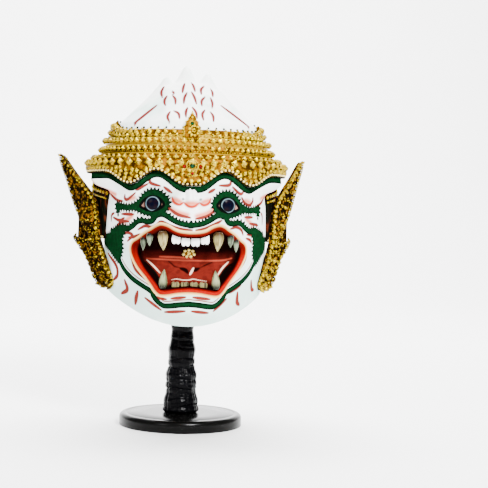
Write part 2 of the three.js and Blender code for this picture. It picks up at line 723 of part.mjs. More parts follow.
for (let i = 0; i < 4; i++) {
  const upperX = (i - 1.5) * UPPER_INCISOR.pitch;
  const upperRoot = UPPER_INCISOR.root + Math.abs(i - 1.5) * UPPER_INCISOR.arch;
  const upper = makeIncisor(upperX, upperRoot, UPPER_INCISOR, -1);
  addPiece(`upper_incisor_${i + 1}`, setInMouth(upper), BRIGHT_ENAMEL);
  const lowerX = (i - 1.5) * LOWER_INCISOR.pitch;
  const lower = makeIncisor(lowerX, LOWER_INCISOR.base, LOWER_INCISOR, 1);
  addPiece(`lower_incisor_${i + 1}`, setInMouth(lower), IVORY);
}

// The back of a gem is cut to the gilt surface that it sits on
const coronetFront = (z, halfWidth, x) => coronetPoint(Math.asin(x / halfWidth), z, halfWidth).y;
for (const [name, x, z, radius, halfWidth, material] of GEMS) {
  const behind = name === "spike_gem" ? SPIKE.back - SPIKE.depth : coronetFront(z, halfWidth, x);
  const gem = solidOf(makeGem(x, z, radius, behind - 0.5 * radius));
  const seated = geometryOf(gem.subtract(coronet.translate([0, -GAP, 0])));
  addPiece(name, seated, material === "red" ? RED_GEM : GREEN_GEM);
}

addPiece("palate_flower", makeFlower(), GILT);
addPiece("stand_post", makePost(), BLACK_WRAP);
addPiece("stand_foot", makeFoot(), BLACK_WRAP);

export default mask;
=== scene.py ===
# %% [markdown]
# # A khon mask on its post
#
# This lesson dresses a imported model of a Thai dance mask. The mask is a papier-mache head of a white
# monkey warrior, lacquered white and painted with green bands and pink strokes. It wears a gilt coronet
# and gilt leather ear ornaments, and it stands on a post bound in crinkled black sheet.
#
# Every length below is in millimetres, as a mask maker would give it, and is turned into metres when a
# mesh is made. The face looks towards -Y, +X is on the viewer's right and +Z is up.

import math

import bmesh
import bpy
import numpy as np
from mathutils import Matrix, Quaternion, Vector


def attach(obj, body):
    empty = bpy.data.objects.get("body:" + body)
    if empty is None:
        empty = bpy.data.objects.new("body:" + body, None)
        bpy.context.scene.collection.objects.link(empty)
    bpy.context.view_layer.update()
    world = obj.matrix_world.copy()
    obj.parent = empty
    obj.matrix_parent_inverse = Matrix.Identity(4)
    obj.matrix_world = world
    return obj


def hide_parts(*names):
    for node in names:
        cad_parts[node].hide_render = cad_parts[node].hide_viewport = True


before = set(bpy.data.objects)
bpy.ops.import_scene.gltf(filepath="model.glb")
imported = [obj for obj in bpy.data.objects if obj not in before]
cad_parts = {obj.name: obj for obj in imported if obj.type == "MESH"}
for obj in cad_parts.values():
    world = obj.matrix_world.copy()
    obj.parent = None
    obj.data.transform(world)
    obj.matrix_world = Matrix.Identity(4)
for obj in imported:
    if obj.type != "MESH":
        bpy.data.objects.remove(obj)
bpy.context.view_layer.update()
MM = 0.001
print("nodes:", len(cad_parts))

# %% [markdown]
# ## Small helpers
#
# The mask's surface is worked out with numpy, because a formula that is evaluated for a hundred thousand
# points at once is fast. A bell is a soft bump and a plateau is a bump with a flat top.


# %% Helpers for curves and fields
def smooth(low, high, v):
    t = np.clip((v - low) / (high - low), 0, 1)
    return t * t * (3 - 2 * t)


def bell(v, width):
    return np.exp(-((v / width) ** 2))


def plateau(v, width):
    return np.exp(-((v / width) ** 4))


def mix(a, b, t):
    return a + (b - a) * t


def curve_through(points, steps=6, closed=False):
    """A Catmull-Rom curve through the points, whatever number of columns they have."""
    p = np.array(points, float)
    ends = (p[-1:], p[:1], p[1:2]) if closed else (2 * p[:1] - p[1:2], 2 * p[-1:] - p[-2:-1])
    p = np.vstack([ends[0], p, *ends[1:]])
    t = np.linspace(0, 1, steps, endpoint=False)[:, None]
    out = []
    for a, b, c, d in zip(p, p[1:], p[2:], p[3:]):
        bend = 2 * a - 5 * b + 4 * c - d
        twist = 3 * b - a - 3 * c + d
        out.append(0.5 * (2 * b + (c - a) * t + bend * t**2 + twist * t**3))
    out = np.vstack(out)
    return out if closed else np.vstack([out, p[-2:-1]])


def near_line(line, x, z):
    """Distance, length along and side of the nearest place on an open line of (x, z, ...) rows."""
    start, step = line[:-1, :2], np.diff(line[:, :2], axis=0)
    size = np.maximum(np.hypot(step[:, 0], step[:, 1]), 1e-9)
    run = np.concatenate([[0], np.cumsum(size)])
    best = np.full(x.shape, 1e9)
    along = np.zeros(x.shape)
    side = np.zeros(x.shape)
    extra = np.zeros(x.shape)
    for i, (s, d, length) in enumerate(zip(start, step, size)):
        rx, rz = x - s[0], z - s[1]
        t = np.clip((rx * d[0] + rz * d[1]) / length**2, 0, 1)
        gap = np.hypot(rx - t * d[0], rz - t * d[1])
        hit = gap < best
        best = np.where(hit, gap, best)
        along = np.where(hit, run[i] + t * length, along)
        side = np.where(hit, np.sign(d[0] * rz - d[1] * rx), side)
        if line.shape[1] > 2:
            extra = np.where(hit, mix(line[i, 2], line[i + 1, 2], t), extra)
    return best, along, side, extra


def inside_outline(outline, x, z):
    """True where a point lies inside a closed outline."""
    odd = np.zeros(x.shape, bool)
    for (x0, z0), (x1, z1) in zip(outline[:, :2], np.roll(outline, -1, axis=0)[:, :2]):
        crosses = (z0 > z) != (z1 > z)
        at = x0 + (z - z0) * (x1 - x0) / (z1 - z0 if z1 != z0 else 1e-9)
        odd ^= crosses & (x < at)
    return odd


def signed_distance(outline, x, z):
    """Distance to a closed outline, negative inside it, and the length along it."""
    gap, run, _, _ = near_line(np.vstack([outline, outline[:1]]), x, z)
    return np.where(inside_outline(outline, x, z), -gap, gap), run


def both_halves(half):
    """A closed outline from its half with x >= 0, which starts and ends on the middle line."""
    p = np.array(half, float)
    return curve_through(np.vstack([p, (p * [-1, 1])[-2:0:-1]]), 5, closed=True)


def full_turn(points):
    return np.linspace(0, 2 * np.pi, points, endpoint=False)


# %% [markdown]
# ## The head as a formula
#
# A maker models the head in clay and lays paper over it, so it is one smooth closed surface with the
# features swelling out of it. Here it is the same: a plan section for each height gives the plain head,
# and a relief function says how far each place of the face stands out. The same sizes were used for the
# plain solid that the shell replaces.

# %% Sizes of the head
HEAD = np.array([
    # height, half width, depth of the front, depth of the back
    [113, 79, 92, 76],
    [150, 87, 101, 86],
    [200, 92, 106, 98],
    [250, 93, 105, 104],
    [300, 90, 100, 100],
    [341, 78.5, 84, 84],
])
WALL = 4
RIM = {"front": 121, "side": 155, "back": 152}
LEDGE = 0.8
WELT = {"out": 7, "below": 13}
CAP = {"base": 341, "shoulder": 381, "crest": 388, "top_width": 38}
TUFTS = [(-27, 9), (-3, 22), (21, 13)]  # middle and height of each tuft of hair
TUFT = {"radius": 9.5, "half_depth": 15, "ridge": 5, "scale": 4, "scale_pitch": 12}
EDGE = {
    "middle": 272, "middle_x": 6, "arch": 288, "arch_x": 37, "temple": 273, "temple_x": 66,
    "side": 286, "side_x": 92,
}  # fmt: skip
EDGE_HALF_WIDTH = 93
FLARE = {"out": 17, "low": 262, "full": 279, "start": 0.62, "end": 0.92}
# A dark ring as wide as the lid shows round the lens, which stands forward and turns outwards a little.
EYE = {"x": 40, "z": 252, "ring": 8.2, "lid": 0.5, "forward": 2.0, "turn": 0.25}
NOSE = {"z": 256.5, "height": 13, "lobe": 8.4, "lobe_x": 14, "bridge": 5, "bridge_z": 268, "bridge_radius": 9}
MUZZLE = {"x": 54, "z": 192, "half_height": 58, "height": 20}
BROW_RIDGE = {"height": 8, "width": 7.5}
LIP_RIDGE = {"height": 6, "width": 5.5}
SOCKET = {"depth": 4, "radius": 15}
CHIN = {"height": 9, "half_width": 34, "z": 137, "half_height": 12}
CHEEK = {"height": 6, "x": 72, "z": 222, "radius": 20}
MOUTH_WALL = {"middle": -91, "corner": -84, "corner_x": 48}
MOUTH_FLOOR = {"top": 192, "bottom": 169, "forward": 13}

BROW = [
    (6, 263), (18, 265), (30, 274), (40, 277), (50, 274), (60, 265), (67, 262), (76, 266), (90, 275),
    (104, 279),
]  # fmt: skip
MOUTH = [
    (0, 219), (13, 220), (21, 223.5), (30, 226), (38, 222), (47, 216.5), (56, 208), (56.5, 197),
    (50.5, 184),
    (42, 173), (35.5, 165), (29, 159), (13, 161), (0, 162),
]  # fmt: skip
brow_line = curve_through(BROW)
mouth_outline = both_halves(MOUTH)


# %% The plain head and the coronet's edge
def station(z, column):
    """A column of the head's table at any height."""
    return np.interp(z, HEAD[:, 0], HEAD[:, column])


def temple_width(sine):
    """Half width of the face under the coronet: the temples swell out at the sides."""
    return EDGE_HALF_WIDTH + FLARE["out"] * smooth(FLARE["start"], FLARE["end"], sine)


def face_width(angle):
    """Half width of the head under the coronet, seen from the front."""
    return temple_width(np.where(np.cos(angle) < 0, 1, np.abs(np.sin(angle))))


def coronet_edge(angle, half_width):
    """Height of the coronet's lower edge at an angle round a ring of that half width."""
    across = np.abs(half_width * np.sin(angle))

    def wave(start, stop):
        x0, x1 = EDGE[start + "_x"], EDGE[stop + "_x"]
        t = np.clip((across - x0) / (x1 - x0), 0, 1)
        return mix(EDGE[start], EDGE[stop], (1 - np.cos(np.pi * t)) / 2)

    height = wave("middle", "arch")
    height = np.where(across > EDGE["arch_x"], wave("arch", "temple"), height)
    height = np.where(across > EDGE["temple_x"], wave("temple", "side"), height)
    return np.where(np.cos(angle) < 0, EDGE["side"], height)


def rim_height(angle):
    """Height of the shell's open rim, which rises from the chin to the sides."""
    front = RIM["front"] + (RIM["side"] - RIM["front"]) * np.abs(np.sin(angle)) ** 2.1
    back = mix(RIM["back"], RIM["side"], np.abs(np.sin(angle)))
    return np.where(np.cos(angle) < 0, back, front)


def head_point(angle, z, grow=0):
    """The x and y of the plain head at an angle from the front."""
    a = station(z, 1) + grow
    b = np.where(np.cos(angle) > 0, station(z, 2), station(z, 3)) + grow
    return a * np.sin(angle), -b * np.cos(angle)


def temple_flare(sine, z):
    """How far the temples swell outwards under the coronet."""
    return (temple_width(sine) - EDGE_HALF_WIDTH) * smooth(FLARE["low"], FLARE["full"], z)


# %% [markdown]
# ## What is painted on the face
#
# The painter works on the round face, so a line keeps its width where the cheek turns away. The paint is
# therefore planned on the face unrolled flat: a place is given by the length of paper round the head and
# by its height. Each painted line is a short list of points seen from the front, and the distance to it
# is kept on every vertex. The material turns that distance into an edge as crisp as a brush stroke.

# %% The face unrolled
PAPER = 93  # millimetres of paper for one radian round the head


def unroll(points):
    """Front-view rows of (x, z, ...) as rows of (length round the head, z, ...)."""
    out = np.array(points, float)
    sines = np.linspace(0, 1, 80)
    for row in out:
        reach = (station(row[1], 1) + temple_flare(sines, row[1])) * sines
        row[0] = np.copysign(PAPER * np.arcsin(np.interp(abs(row[0]), reach, sines)), row[0])
    return out


# %% Green bands, as points with a half width
LIP_BANDS = [
    [(-1, 229.5, 2.2), (11, 231.5, 2.2), (20, 235.5, 2.2), (27, 240, 2.4), (32, 241.5, 3),
    (38, 239.5, 3)],
    [(38, 239, 3), (41, 233.5, 2.4), (46, 232.5, 2.2), (52, 233.5, 2.2), (57, 231.5, 2.2),
    (61, 227.5, 2.4),
     (66, 224.5, 2.6), (72, 225, 3), (77, 222, 4), (82, 217, 6)],
    [(78, 198, 3.5), (74, 189, 2.6), (69, 180, 2.4), (61, 171.5, 2.3), (52, 165.5, 2.2), (43, 160.5, 2.2),
     (39, 158, 2.6), (37, 153, 2.3), (33, 148, 2.3), (27, 144, 2.3), (20, 144, 2.4), (10, 145.5, 2.4),
     (-1, 146.5, 2.4)],
]  # fmt: skip
CHEEK_PATCH = [
    (66, 226.6), (72, 228.5), (77, 226), (80, 221), (86, 218.5), (92, 215.5), (96, 213.5),
    (94, 209.5), (89.5, 204),
    (84, 197), (79, 190.5), (74.5, 186.5), (72, 195), (71, 203), (71.5, 212), (69.5, 219),
]  # fmt: skip
EYE_PATCH = [
    (24, 258), (28, 262.5), (33, 266), (40, 267.5), (46, 266), (51, 262), (55, 256.5), (60, 252.5),
    (66, 250.5), (73, 251.5), (79, 252.5), (79.5, 246), (77, 239.5), (74, 244.5), (66, 244), (60, 244.5),
    (56, 243), (50, 240.5), (43, 238.5), (36, 238), (30, 241), (25, 246), (22.5, 252),
]  # fmt: skip
EYE_WHITE = [
    (29, 251.5), (32, 256), (36, 258.6), (40, 259.4), (45, 258.4), (49.4, 255), (52, 251.6), (53, 249),
    (49.4, 246.8), (45, 245.4), (40, 244.8), (35.5, 246), (31.5, 248.4),
]  # fmt: skip
FOREHEAD_KNOB = {"x": -0.9, "z": 262.6, "radius": 6.4}  # white, over the middle of the crown band
CROWN_BAND = {"below_edge": 4.4, "half_width": 3.5}
BRUSH = 0.8  # what the brush adds to each side of a lip band

# %% Red lips, as their outer outline
RED_LIPS = [
    (0, 222.2), (14, 223.8), (23, 228.5), (31, 230.6), (37, 228.5), (42, 225), (49, 220.5), (55, 215),
    (60.5, 211),
    (63, 205), (62, 197), (57, 186.5), (51.5, 179), (46, 172.5), (40.5, 165), (36, 158.5), (30, 154.8),
    (20, 155.8), (12, 157.4), (0, 158.3),
]  # fmt: skip

# %% Pink brush strokes of the face
STROKES = {
    "brows": [
        [(-44, 279), (-43, 274), (-33, 271)], [(-59, 272), (-57, 267), (-46, 273)],
        [(-29, 270), (-21, 264)],
        [(-70, 261), (-70, 257), (-67, 256), (-59, 263)], [(-86, 262), (-78, 255), (-72, 254)],
        [(18, 265), (25, 269)], [(30, 273), (41, 274), (43, 279)], [(45, 272), (54, 265), (58, 268)],
        [(56, 261), (60, 255), (66, 253), (69, 257), (69, 261)], [(73, 251), (81, 256), (85, 262)],
        [(95, 268), (102, 271), (109, 277)], [(-95, 268), (-102, 271), (-107, 275)],
    ],
    "jaw": [
        [(-87, 196), (-78, 184), (-76, 173), (-80, 167)], [(-68, 168), (-65, 158), (-71, 153)],
        [(-54, 157), (-56, 143)], [(71, 170), (72, 161), (75, 159)], [(54, 158), (54, 148), (57, 144)],
        [(-25, 137), (-4, 139)], [(3, 139), (21, 137)],
        [(-46, 151), (-29, 139)], [(41, 152), (27, 139)], [(44, 158), (58, 166)],
    ],
    "lower lip": [
        [(-39, 153), (-32, 152), (-24, 151)], [(-19, 152), (-12, 153), (-4, 154)],
        [(4, 154), (13, 153), (22, 152)],
        [(63, 203), (62, 194), (56, 185), (49, 178)],
        [(-63, 200), (-61, 192), (-57, 181), (-48, 173), (-40, 167)],
    ],
    "under the nose": [[(-24, 248), (-14, 241), (-1, 238)], [(5, 237), (17, 240), (27, 247)]],
    "upper lip": [
        [(-36, 230), (-31, 233), (-22, 229), (-11, 226), (1, 225)],
        [(5, 225), (15, 227), (26, 232), (33, 236)],
        [(-55, 224), (-48, 228), (-41, 227), (-36, 230)], [(-65, 215), (-59, 216), (-53, 219)],
        [(43, 227), (50, 229), (56, 226), (58, 221)], [(62, 217), (67, 215), (69, 212)],
        [(-70, 219), (-65, 220), (-61, 217), (-66, 211)], [(63, 221), (70, 220), (73, 217), (70, 210)],
    ],
    "cheeks": [
        [(-80, 222), (-77, 228), (-71, 232), (-65, 232)], [(-73, 240), (-65, 240), (-60, 240)],
        [(-84, 232), (-84, 238), (-81, 241)], [(-82, 236), (-75, 233), (-70, 236)],
        [(60, 240), (70, 240)],
        [(66, 233), (74, 232), (77, 231)], [(81, 245), (83, 241), (83, 232)],
    ],
}  # fmt: skip
NOSTRIL_LINES = [
    [(-20.5, 259), (-18.5, 254), (-13, 251.5), (-8.5, 254)],
    [(-7.5, 253.5), (-4, 250.5), (0, 249.5), (4, 250.5), (7.5, 253.5)],
    [(8.5, 254), (13, 251.5), (18.5, 254), (20.5, 259)],
]  # fmt: skip
NOSTRIL_DOTS = [[(-10, 258), (-8.5, 257)], [(8.5, 257), (10, 258)]]

# %% Blush under the curls of the brows, and painted highlights and shadows inside the mouth
BLUSH = [
    [(-106, 276), (-98, 269.5), (-88, 265), (-80, 261)], [(106, 276), (98, 269.5), (88, 265), (80, 261)],
    [(-66, 256), (-60, 258)], [(60, 258), (66, 256)], [(-70, 231), (-62, 238)], [(62, 238), (70, 231)],
    [(-18, 257), (-12, 254.5)], [(-5, 253), (5, 253)], [(12, 254.5), (18, 257)],
    [(-25, 248), (-15, 243.5), (-4, 241)], [(6, 240), (17, 243), (26, 249)],
]  # fmt: skip
# Painted highlights: white lines where the edges of the jaw and the gum catch the light. Painted shadow:
# black beside the jaw.
JAW_EDGE_SHINE = [[(-45, 191.5), (-37.5, 185), (-30.6, 178)], [(43.5, 191), (36.5, 184), (31.3, 176.9)]]
JAW_SHADE = [[(-51, 189), (-43, 181), (-33, 172)], [(50, 189), (42.5, 181), (33, 171)]]
GUM_SHINE_LINE = [
    [(-18.5, 171.2), (-12.8, 172.2), (-6.3, 171.3), (0, 171.4), (5.1, 172.4), (11, 171.4), (19.5, 170.4)],
]
# Painted shadow: dark lines in the grooves of the tongue and dark hollows beside its tip.
TONGUE_GROOVE_SHADOWS = [
    [(-22, 191), (-18.6, 188.2), (-14.9, 185.2), (-9.5, 184)],
    [(13, 184.6), (20, 188), (26, 190.5)],
]
HOLLOW_SHADOWS = [
    [(-10, 184.4), (-9, 182), (-4.8, 179.8), (-0.8, 177.6), (-0.2, 181), (-3.5, 184)],
    [(4.8, 180), (8.8, 180.4), (12.8, 184.4), (8.7, 184.6), (6.4, 184)],
]
# Painted highlight: a white line down the drop.
DROP_SHINE = [[(5.3, 184), (3.2, 180.2), (1.2, 177)]]
# Painted highlights: pink lines where the palate's edge catches the light.
PALATE_SHINE_LINES = [
    [(-45, 192.6), (-16, 191.8), (0, 191.4), (34, 192.2), (47, 195)],
    [(-31, 195.2), (-16, 195), (4, 194)],
]

# %% Rose strokes of the hair on the cap
HAIR_STROKES = [
    [(-6, 388), (-8, 382), (-9, 376)], [(2, 390), (4, 384), (5, 378)], [(-4, 376), (-7, 370), (-8, 363)],
    [(1, 377), (4, 371), (6, 363)], [(-4, 358), (-6, 353), (-6, 347)], [(1, 359), (5, 353), (6, 346)],
    [(16, 386), (12, 381), (12, 375)], [(23, 383), (25, 378), (25, 373)],
    [(16, 372), (12, 367), (12, 361)],
    [(22, 371), (24, 365), (23, 359)], [(15, 356), (12, 351), (13, 344)],
    [(21, 354), (24, 349), (24, 343)],
    [(-29, 384), (-32, 377), (-31, 370)], [(-20, 378), (-18, 375)], [(-26, 372), (-29, 366), (-28, 360)],
    [(-20, 373), (-17, 368), (-17, 362)], [(-23, 353), (-26, 347), (-24, 341)],
    [(-19, 354), (-14, 351), (-13, 345)],
    [(-37, 361), (-66, 336)], [(34, 363), (68, 339)],
]  # fmt: skip


# %% Distances on the face
FAR = 9.0  # what a field says where no such paint is near
NOWHERE = 99.0  # what it says on the back of the head
REACH = 8  # how far from a stroke its distance is worked out
BLUNT = 0.35  # share of its width that a stroke keeps at its tips


def strokes_field(strokes, x, z, half_width):
    """Distance to the nearest of many tapering strokes; negative in the paint."""
    field = np.full(x.shape, FAR)
    for points in strokes:
        line = curve_through(points, 5)
        t = np.clip(np.linspace(0, 1, len(line)), 0.02, 0.98)
        width = half_width * (BLUNT + (1 - BLUNT) * np.sqrt(np.sin(np.pi * t)))
        line = np.column_stack([line, width])
        low, high = line.min(axis=0) - REACH, line.max(axis=0) + REACH
        near = (x > low[0]) & (x < high[0]) & (z > low[1]) & (z < high[1])
        gap, _, _, half = near_line(line, x[near], z[near])
        field[near] = np.minimum(field[near], gap - half)
    return field


def green_fields(u, z):
    """Distance to the green paint, negative in it; length along its edge; 1 where the edge has teeth."""
    edge_angle = np.linspace(-np.pi, np.pi, 420)
    edge = coronet_edge(edge_angle, face_width(edge_angle))
    crown = np.column_stack([PAPER * edge_angle, edge - CROWN_BAND["below_edge"]])
    gap, run, side, _ = near_line(crown, u, z)
    knob = np.hypot(u - FOREHEAD_KNOB["x"], z - FOREHEAD_KNOB["z"])
    best = np.maximum(gap - CROWN_BAND["half_width"], FOREHEAD_KNOB["radius"] - knob)
    nearest = [best, run, (side > 0).astype(float)]

    def lay(*paint):
        nearer = paint[0] < nearest[0]
        for i, values in enumerate(paint):
            nearest[i] = np.where(nearer, values, nearest[i])

    for half in (1, -1):
        for points in LIP_BANDS:
            line = curve_through(unroll([(half * p[0], *p[1:]) for p in points]))
            gap, run, side, width = near_line(line, u, z)
            outer = side * half if points[-1][0] > 0 else -side * half
            style = -1.0 if points is LIP_BANDS[-1] else 1.0  # the band of the jaw has a red line instead
            lay(gap - width - BRUSH, run, (outer > 0) * style)
        for patch in (CHEEK_PATCH, EYE_PATCH):
            outline = curve_through(unroll([(half * p[0], p[1]) for p in patch]), 5, closed=True)
            lay(*signed_distance(outline, u, z), 1.0)
    return nearest


# %% The carved face
def face_relief(x, z):
    """How far the face stands out at a place in front view, and the distance to the mouth's outline."""
    across = np.abs(x)
    brow = BROW_RIDGE["height"] * plateau(near_line(brow_line, across, z)[0], BROW_RIDGE["width"])
    muzzle = MUZZLE["height"] * plateau(x, MUZZLE["x"]) * plateau(z - MUZZLE["z"], MUZZLE["half_height"])
    to_mouth, _ = signed_distance(mouth_outline, x, z)
    lips = LIP_RIDGE["height"] * bell(to_mouth, LIP_RIDGE["width"])
    middles = (-NOSE["lobe_x"], 0, NOSE["lobe_x"])
    lobes = [bell(np.hypot(x - at, z - NOSE["z"]), NOSE["lobe"]) for at in middles]
    bridge = bell(x, NOSE["bridge_radius"]) * bell(z - NOSE["bridge_z"], NOSE["bridge_radius"])
    nose = NOSE["height"] * np.maximum.reduce(lobes) + NOSE["bridge"] * bridge
    socket = -SOCKET["depth"] * bell(np.hypot(across - EYE["x"], z - EYE["z"]), SOCKET["radius"])
    chin = CHIN["height"] * bell(x, CHIN["half_width"]) * bell(z - CHIN["z"], CHIN["half_height"])
    cheek = CHEEK["height"] * bell(np.hypot(across - CHEEK["x"], z - CHEEK["z"]), CHEEK["radius"])
    return brow + muzzle + lips + nose + socket + chin + cheek, to_mouth


def mouth_wall(x, z):
    """Depth of the mouth's back wall; below the palate the floor slopes forward to the lower teeth."""
    wall = mix(MOUTH_WALL["middle"], MOUTH_WALL["corner"], (x / MOUTH_WALL["corner_x"]) ** 2)
    return wall - MOUTH_FLOOR["forward"] * smooth(MOUTH_FLOOR["top"], MOUTH_FLOOR["bottom"], z)


def face_point(angle, rise):
    """The face from its rim (rise 0) to the coronet's edge (rise 1), and the mouth's distance."""
    edge = coronet_edge(angle, face_width(angle))
    z = mix(rim_height(angle), edge - LEDGE, rise)
    x, y = head_point(angle, z)
    front = smooth(-0.1, 0.45, np.cos(angle))
    sine = np.where(np.cos(angle) < 0, 1, np.abs(np.sin(angle)))
    flare = temple_flare(sine, z)
    x = x + flare * np.sin(angle)
    relief, to_mouth = face_relief(x, z)
    welt = WELT["out"] * smooth(WELT["below"], 1, edge - z) * (1 - smooth(0.5, 0.9, sine))
    y = y - flare * np.cos(angle) - (relief + welt) * front
    in_mouth = smooth(0.5, 9, -to_mouth) * (np.cos(angle) > 0)
    return x, mix(y, mouth_wall(x, z), in_mouth), z, to_mouth


def cap_point(angle, inward):
    """The cap from its foot (inward 0) to its middle (inward 1), with the tufts of hair."""
    size = 1 - inward
    a, b = station(CAP["base"], 1) * size, station(CAP["base"], 2) * size
    x, y = a * np.sin(angle), -b * np.cos(angle)
    narrow = CAP["top_width"] / station(CAP["base"], 1)
    cone = mix(CAP["base"], CAP["shoulder"], np.clip(inward / (1 - narrow), 0, 1))
    crest = cone + (CAP["crest"] - CAP["shoulder"]) * smooth(narrow, 0.3, size)
    tufts = np.maximum.reduce([height * bell(x - at, TUFT["radius"]) for at, height in TUFTS])
    tufts = tufts * plateau(y, TUFT["half_depth"])
    ridges = sum(bell(x - at, TUFT["ridge"]) for at, _ in TUFTS)
    scales = TUFT["scale"] * ridges * (0.6 + 0.4 * np.cos(2 * np.pi * y / TUFT["scale_pitch"]))
    front = smooth(1, 0.85, size) * smooth(0.1, 0.3, size) * smooth(0, 0.5, np.cos(angle))
    return x, y, crest + tufts + scales * front


# %% Grid of the shell
COLUMNS = 400
FACE_ROWS = 174
CAP_ROWS = 46
turn = 2 * np.pi * (np.arange(COLUMNS) + 0.5) / COLUMNS - np.pi
ANGLES = turn - 0.64 * np.sin(turn)


def mesh_of_rows(name, rows, ring=False):
    """A closed skin from rows of points round Z; rows of one point are poles, and a ring has none."""
    points = np.vstack(rows)
    starts = np.cumsum([0] + [len(r) for r in rows])
    faces = []
    for i in range(len(rows) if ring else len(rows) - 1):
        j = (i + 1) % len(rows)
        low, high = starts[i], starts[j]
        count = max(len(rows[i]), len(rows[j]))
        for a in range(count):
            b = (a + 1) % count
            if len(rows[i]) == 1:
                faces.append((low, high + b, high + a))
            elif len(rows[j]) == 1:
                faces.append((low + a, low + b, high))
            else:
                faces.append((low + a, low + b, high + b, high + a))
    mesh = bpy.data.meshes.new(name)
    mesh.from_pydata((points * MM).tolist(), [], faces)
    mesh.update()
    mesh.polygons.foreach_set("use_smooth", [True] * len(mesh.polygons))
    return mesh


def link(name, mesh, *finishes):
    """Puts a mesh into the scene as an object with these finishes."""
    for finish in finishes:
        mesh.materials.append(finish.material)
    thing = bpy.data.objects.new(name, mesh)
    bpy.context.scene.collection.objects.link(thing)
    return thing


def shell_rows():
    """Rows of the outside from the rim up, with the distance to the mouth's outline on the face's rows."""
    rows, mouth_rows = [], []
    for i in range(FACE_ROWS + 1):
        x, y, z, to_mouth = face_point(ANGLES, i / FACE_ROWS)
        rows.append(np.column_stack([x, y, z]))
        mouth_rows.append(np.where(np.cos(ANGLES) > 0, to_mouth, 99))
    for t in (0.0, 0.4):
        z = mix(coronet_edge(ANGLES, face_width(ANGLES)) - LEDGE / 2, CAP["base"], t)
        x, y = head_point(ANGLES, z)
        rows.append(np.column_stack([x, y, z]))
    for i in range(CAP_ROWS):
        rows.append(np.column_stack(cap_point(ANGLES, i / CAP_ROWS)))
    rows.append(np.column_stack(cap_point(np.zeros(1), 1.0)))
    return rows, np.concatenate(mouth_rows)


LINING = {"top": CAP["base"] - 8, "hump_x": 66, "hump_z": 50}


def lining_rows():
    """Rows of the inside from the rim up; behind the mouth it stands back from the mouth's wall."""
    rows = []
    for t in (0, 0.12, 0.27, 0.42, 0.57, 0.75, 1):
        z = mix(rim_height(ANGLES), LINING["top"], t)
        x, y = head_point(ANGLES, z, -WALL)
        back = MOUTH_WALL["corner"] + WALL
        hump = plateau(x, LINING["hump_x"]) * plateau(z - MUZZLE["z"], LINING["hump_z"])
        behind = hump * smooth(0.1, 0.4, np.cos(ANGLES))
        rows.append(np.column_stack([x, mix(y, np.maximum(y, back), behind), z]))
    for inward in (0.3, 0.6):
        a = (station(CAP["base"], 1) - WALL) * (1 - inward)
        b = (station(CAP["base"], 2) - WALL) * (1 - inward)
        z = mix(LINING["top"], CAP["shoulder"] - WALL, min(1, inward / 0.55))
        rows.append(np.column_stack([a * np.sin(ANGLES), -b * np.cos(ANGLES), np.full(COLUMNS, z)]))
    rows.append(np.array([[0, 0, CAP["shoulder"] - WALL]]))
    return rows


inside = lining_rows()[::-1]
outside, mouth_gap = shell_rows()
lining_points = sum(len(r) for r in inside)
lining_faces = COLUMNS * len(inside)
face_points = COLUMNS * (FACE_ROWS + 1)
skin = np.vstack(outside)
print("points of the outside:", len(skin))

# %% Paint of the face on every vertex
HALF_WIDTH = {"stroke": 1.85, "jaw": 2.7, "nose": 1.5, "blush": 1.0, "hair": 1.5}
BROAD_STROKES = STROKES["jaw"][:5]
x_face, z_face = skin[:face_points, 0], skin[:face_points, 2]
angle_face = np.tile(ANGLES, FACE_ROWS + 1)
u_face = PAPER * angle_face
facing = np.cos(angle_face) > 0


def on_paper(strokes, half_width):
    """Distance to strokes of the front view, measured on the unrolled face."""
    return strokes_field([unroll(points) for points in strokes], u_face, z_face, half_width)


green, green_run, green_teeth = green_fields(u_face, z_face)
lips_on_paper = curve_through(unroll(both_halves(RED_LIPS)[::3]), 3, closed=True)
to_lips = np.where(facing, signed_distance(lips_on_paper, u_face, z_face)[0], NOWHERE)
all_strokes = [points for group in STROKES.values() for points in group]
rose = on_paper(all_strokes, HALF_WIDTH["stroke"])
rose = np.minimum(rose, on_paper(BROAD_STROKES, HALF_WIDTH["jaw"]))
print("deepest inside the lips:", round(float(to_lips.min()), 1), "mm")

# %% Lids of the eyes
eye_outline = curve_through(EYE_WHITE, 4, closed=True)
eye_white, _ = signed_distance(eye_outline, np.abs(x_face), z_face)
from_lens = np.hypot(np.abs(x_face) - EYE["x"], z_face - EYE["z"])
eye_white = np.maximum(eye_white, np.minimum(EYE["ring"] - from_lens, EYE["lid"]))
eye_white = np.where(facing, eye_white, NOWHERE)


# %% Paint inside the mouth, in front view
def in_mouth(strokes, half_width):
    return strokes_field(strokes, x_face, z_face, half_width)


# Painted shadow in the tongue's grooves and hollows.
hollow = in_mouth(TONGUE_GROOVE_SHADOWS, 0.8)
for outline in HOLLOW_SHADOWS:
    gap, _ = signed_distance(curve_through(outline, 4, closed=True), x_face, z_face)
    hollow = np.minimum(hollow, gap)
# Painted highlights on the jaw's edges, the drop and the gum line.
white_line = [in_mouth(JAW_EDGE_SHINE, 0.9), in_mouth(DROP_SHINE, 1.2), in_mouth(GUM_SHINE_LINE, 0.5)]
print("lines inside the mouth:", len(JAW_EDGE_SHINE + DROP_SHINE + GUM_SHINE_LINE + PALATE_SHINE_LINES + TONGUE_GROOVE_SHADOWS))

# %% Grooves and ridges along the paint
GROOVE = {"depth": 1.5, "width": 2.2}
groove = GROOVE["depth"] * (1 - np.exp(-np.clip(green, 0, 20) / GROOVE["width"]))
skin[:face_points, 1] -= groove * smooth(0, 0.5, np.cos(angle_face)) * smooth(0, 6, to_lips)
hair = skin[face_points + 2 * COLUMNS:]
hair_field = strokes_field(HAIR_STROKES, hair[:, 0], hair[:, 2], HALF_WIDTH["hair"])
hair_field = np.where(hair[:, 1] < -2, hair_field, FAR)

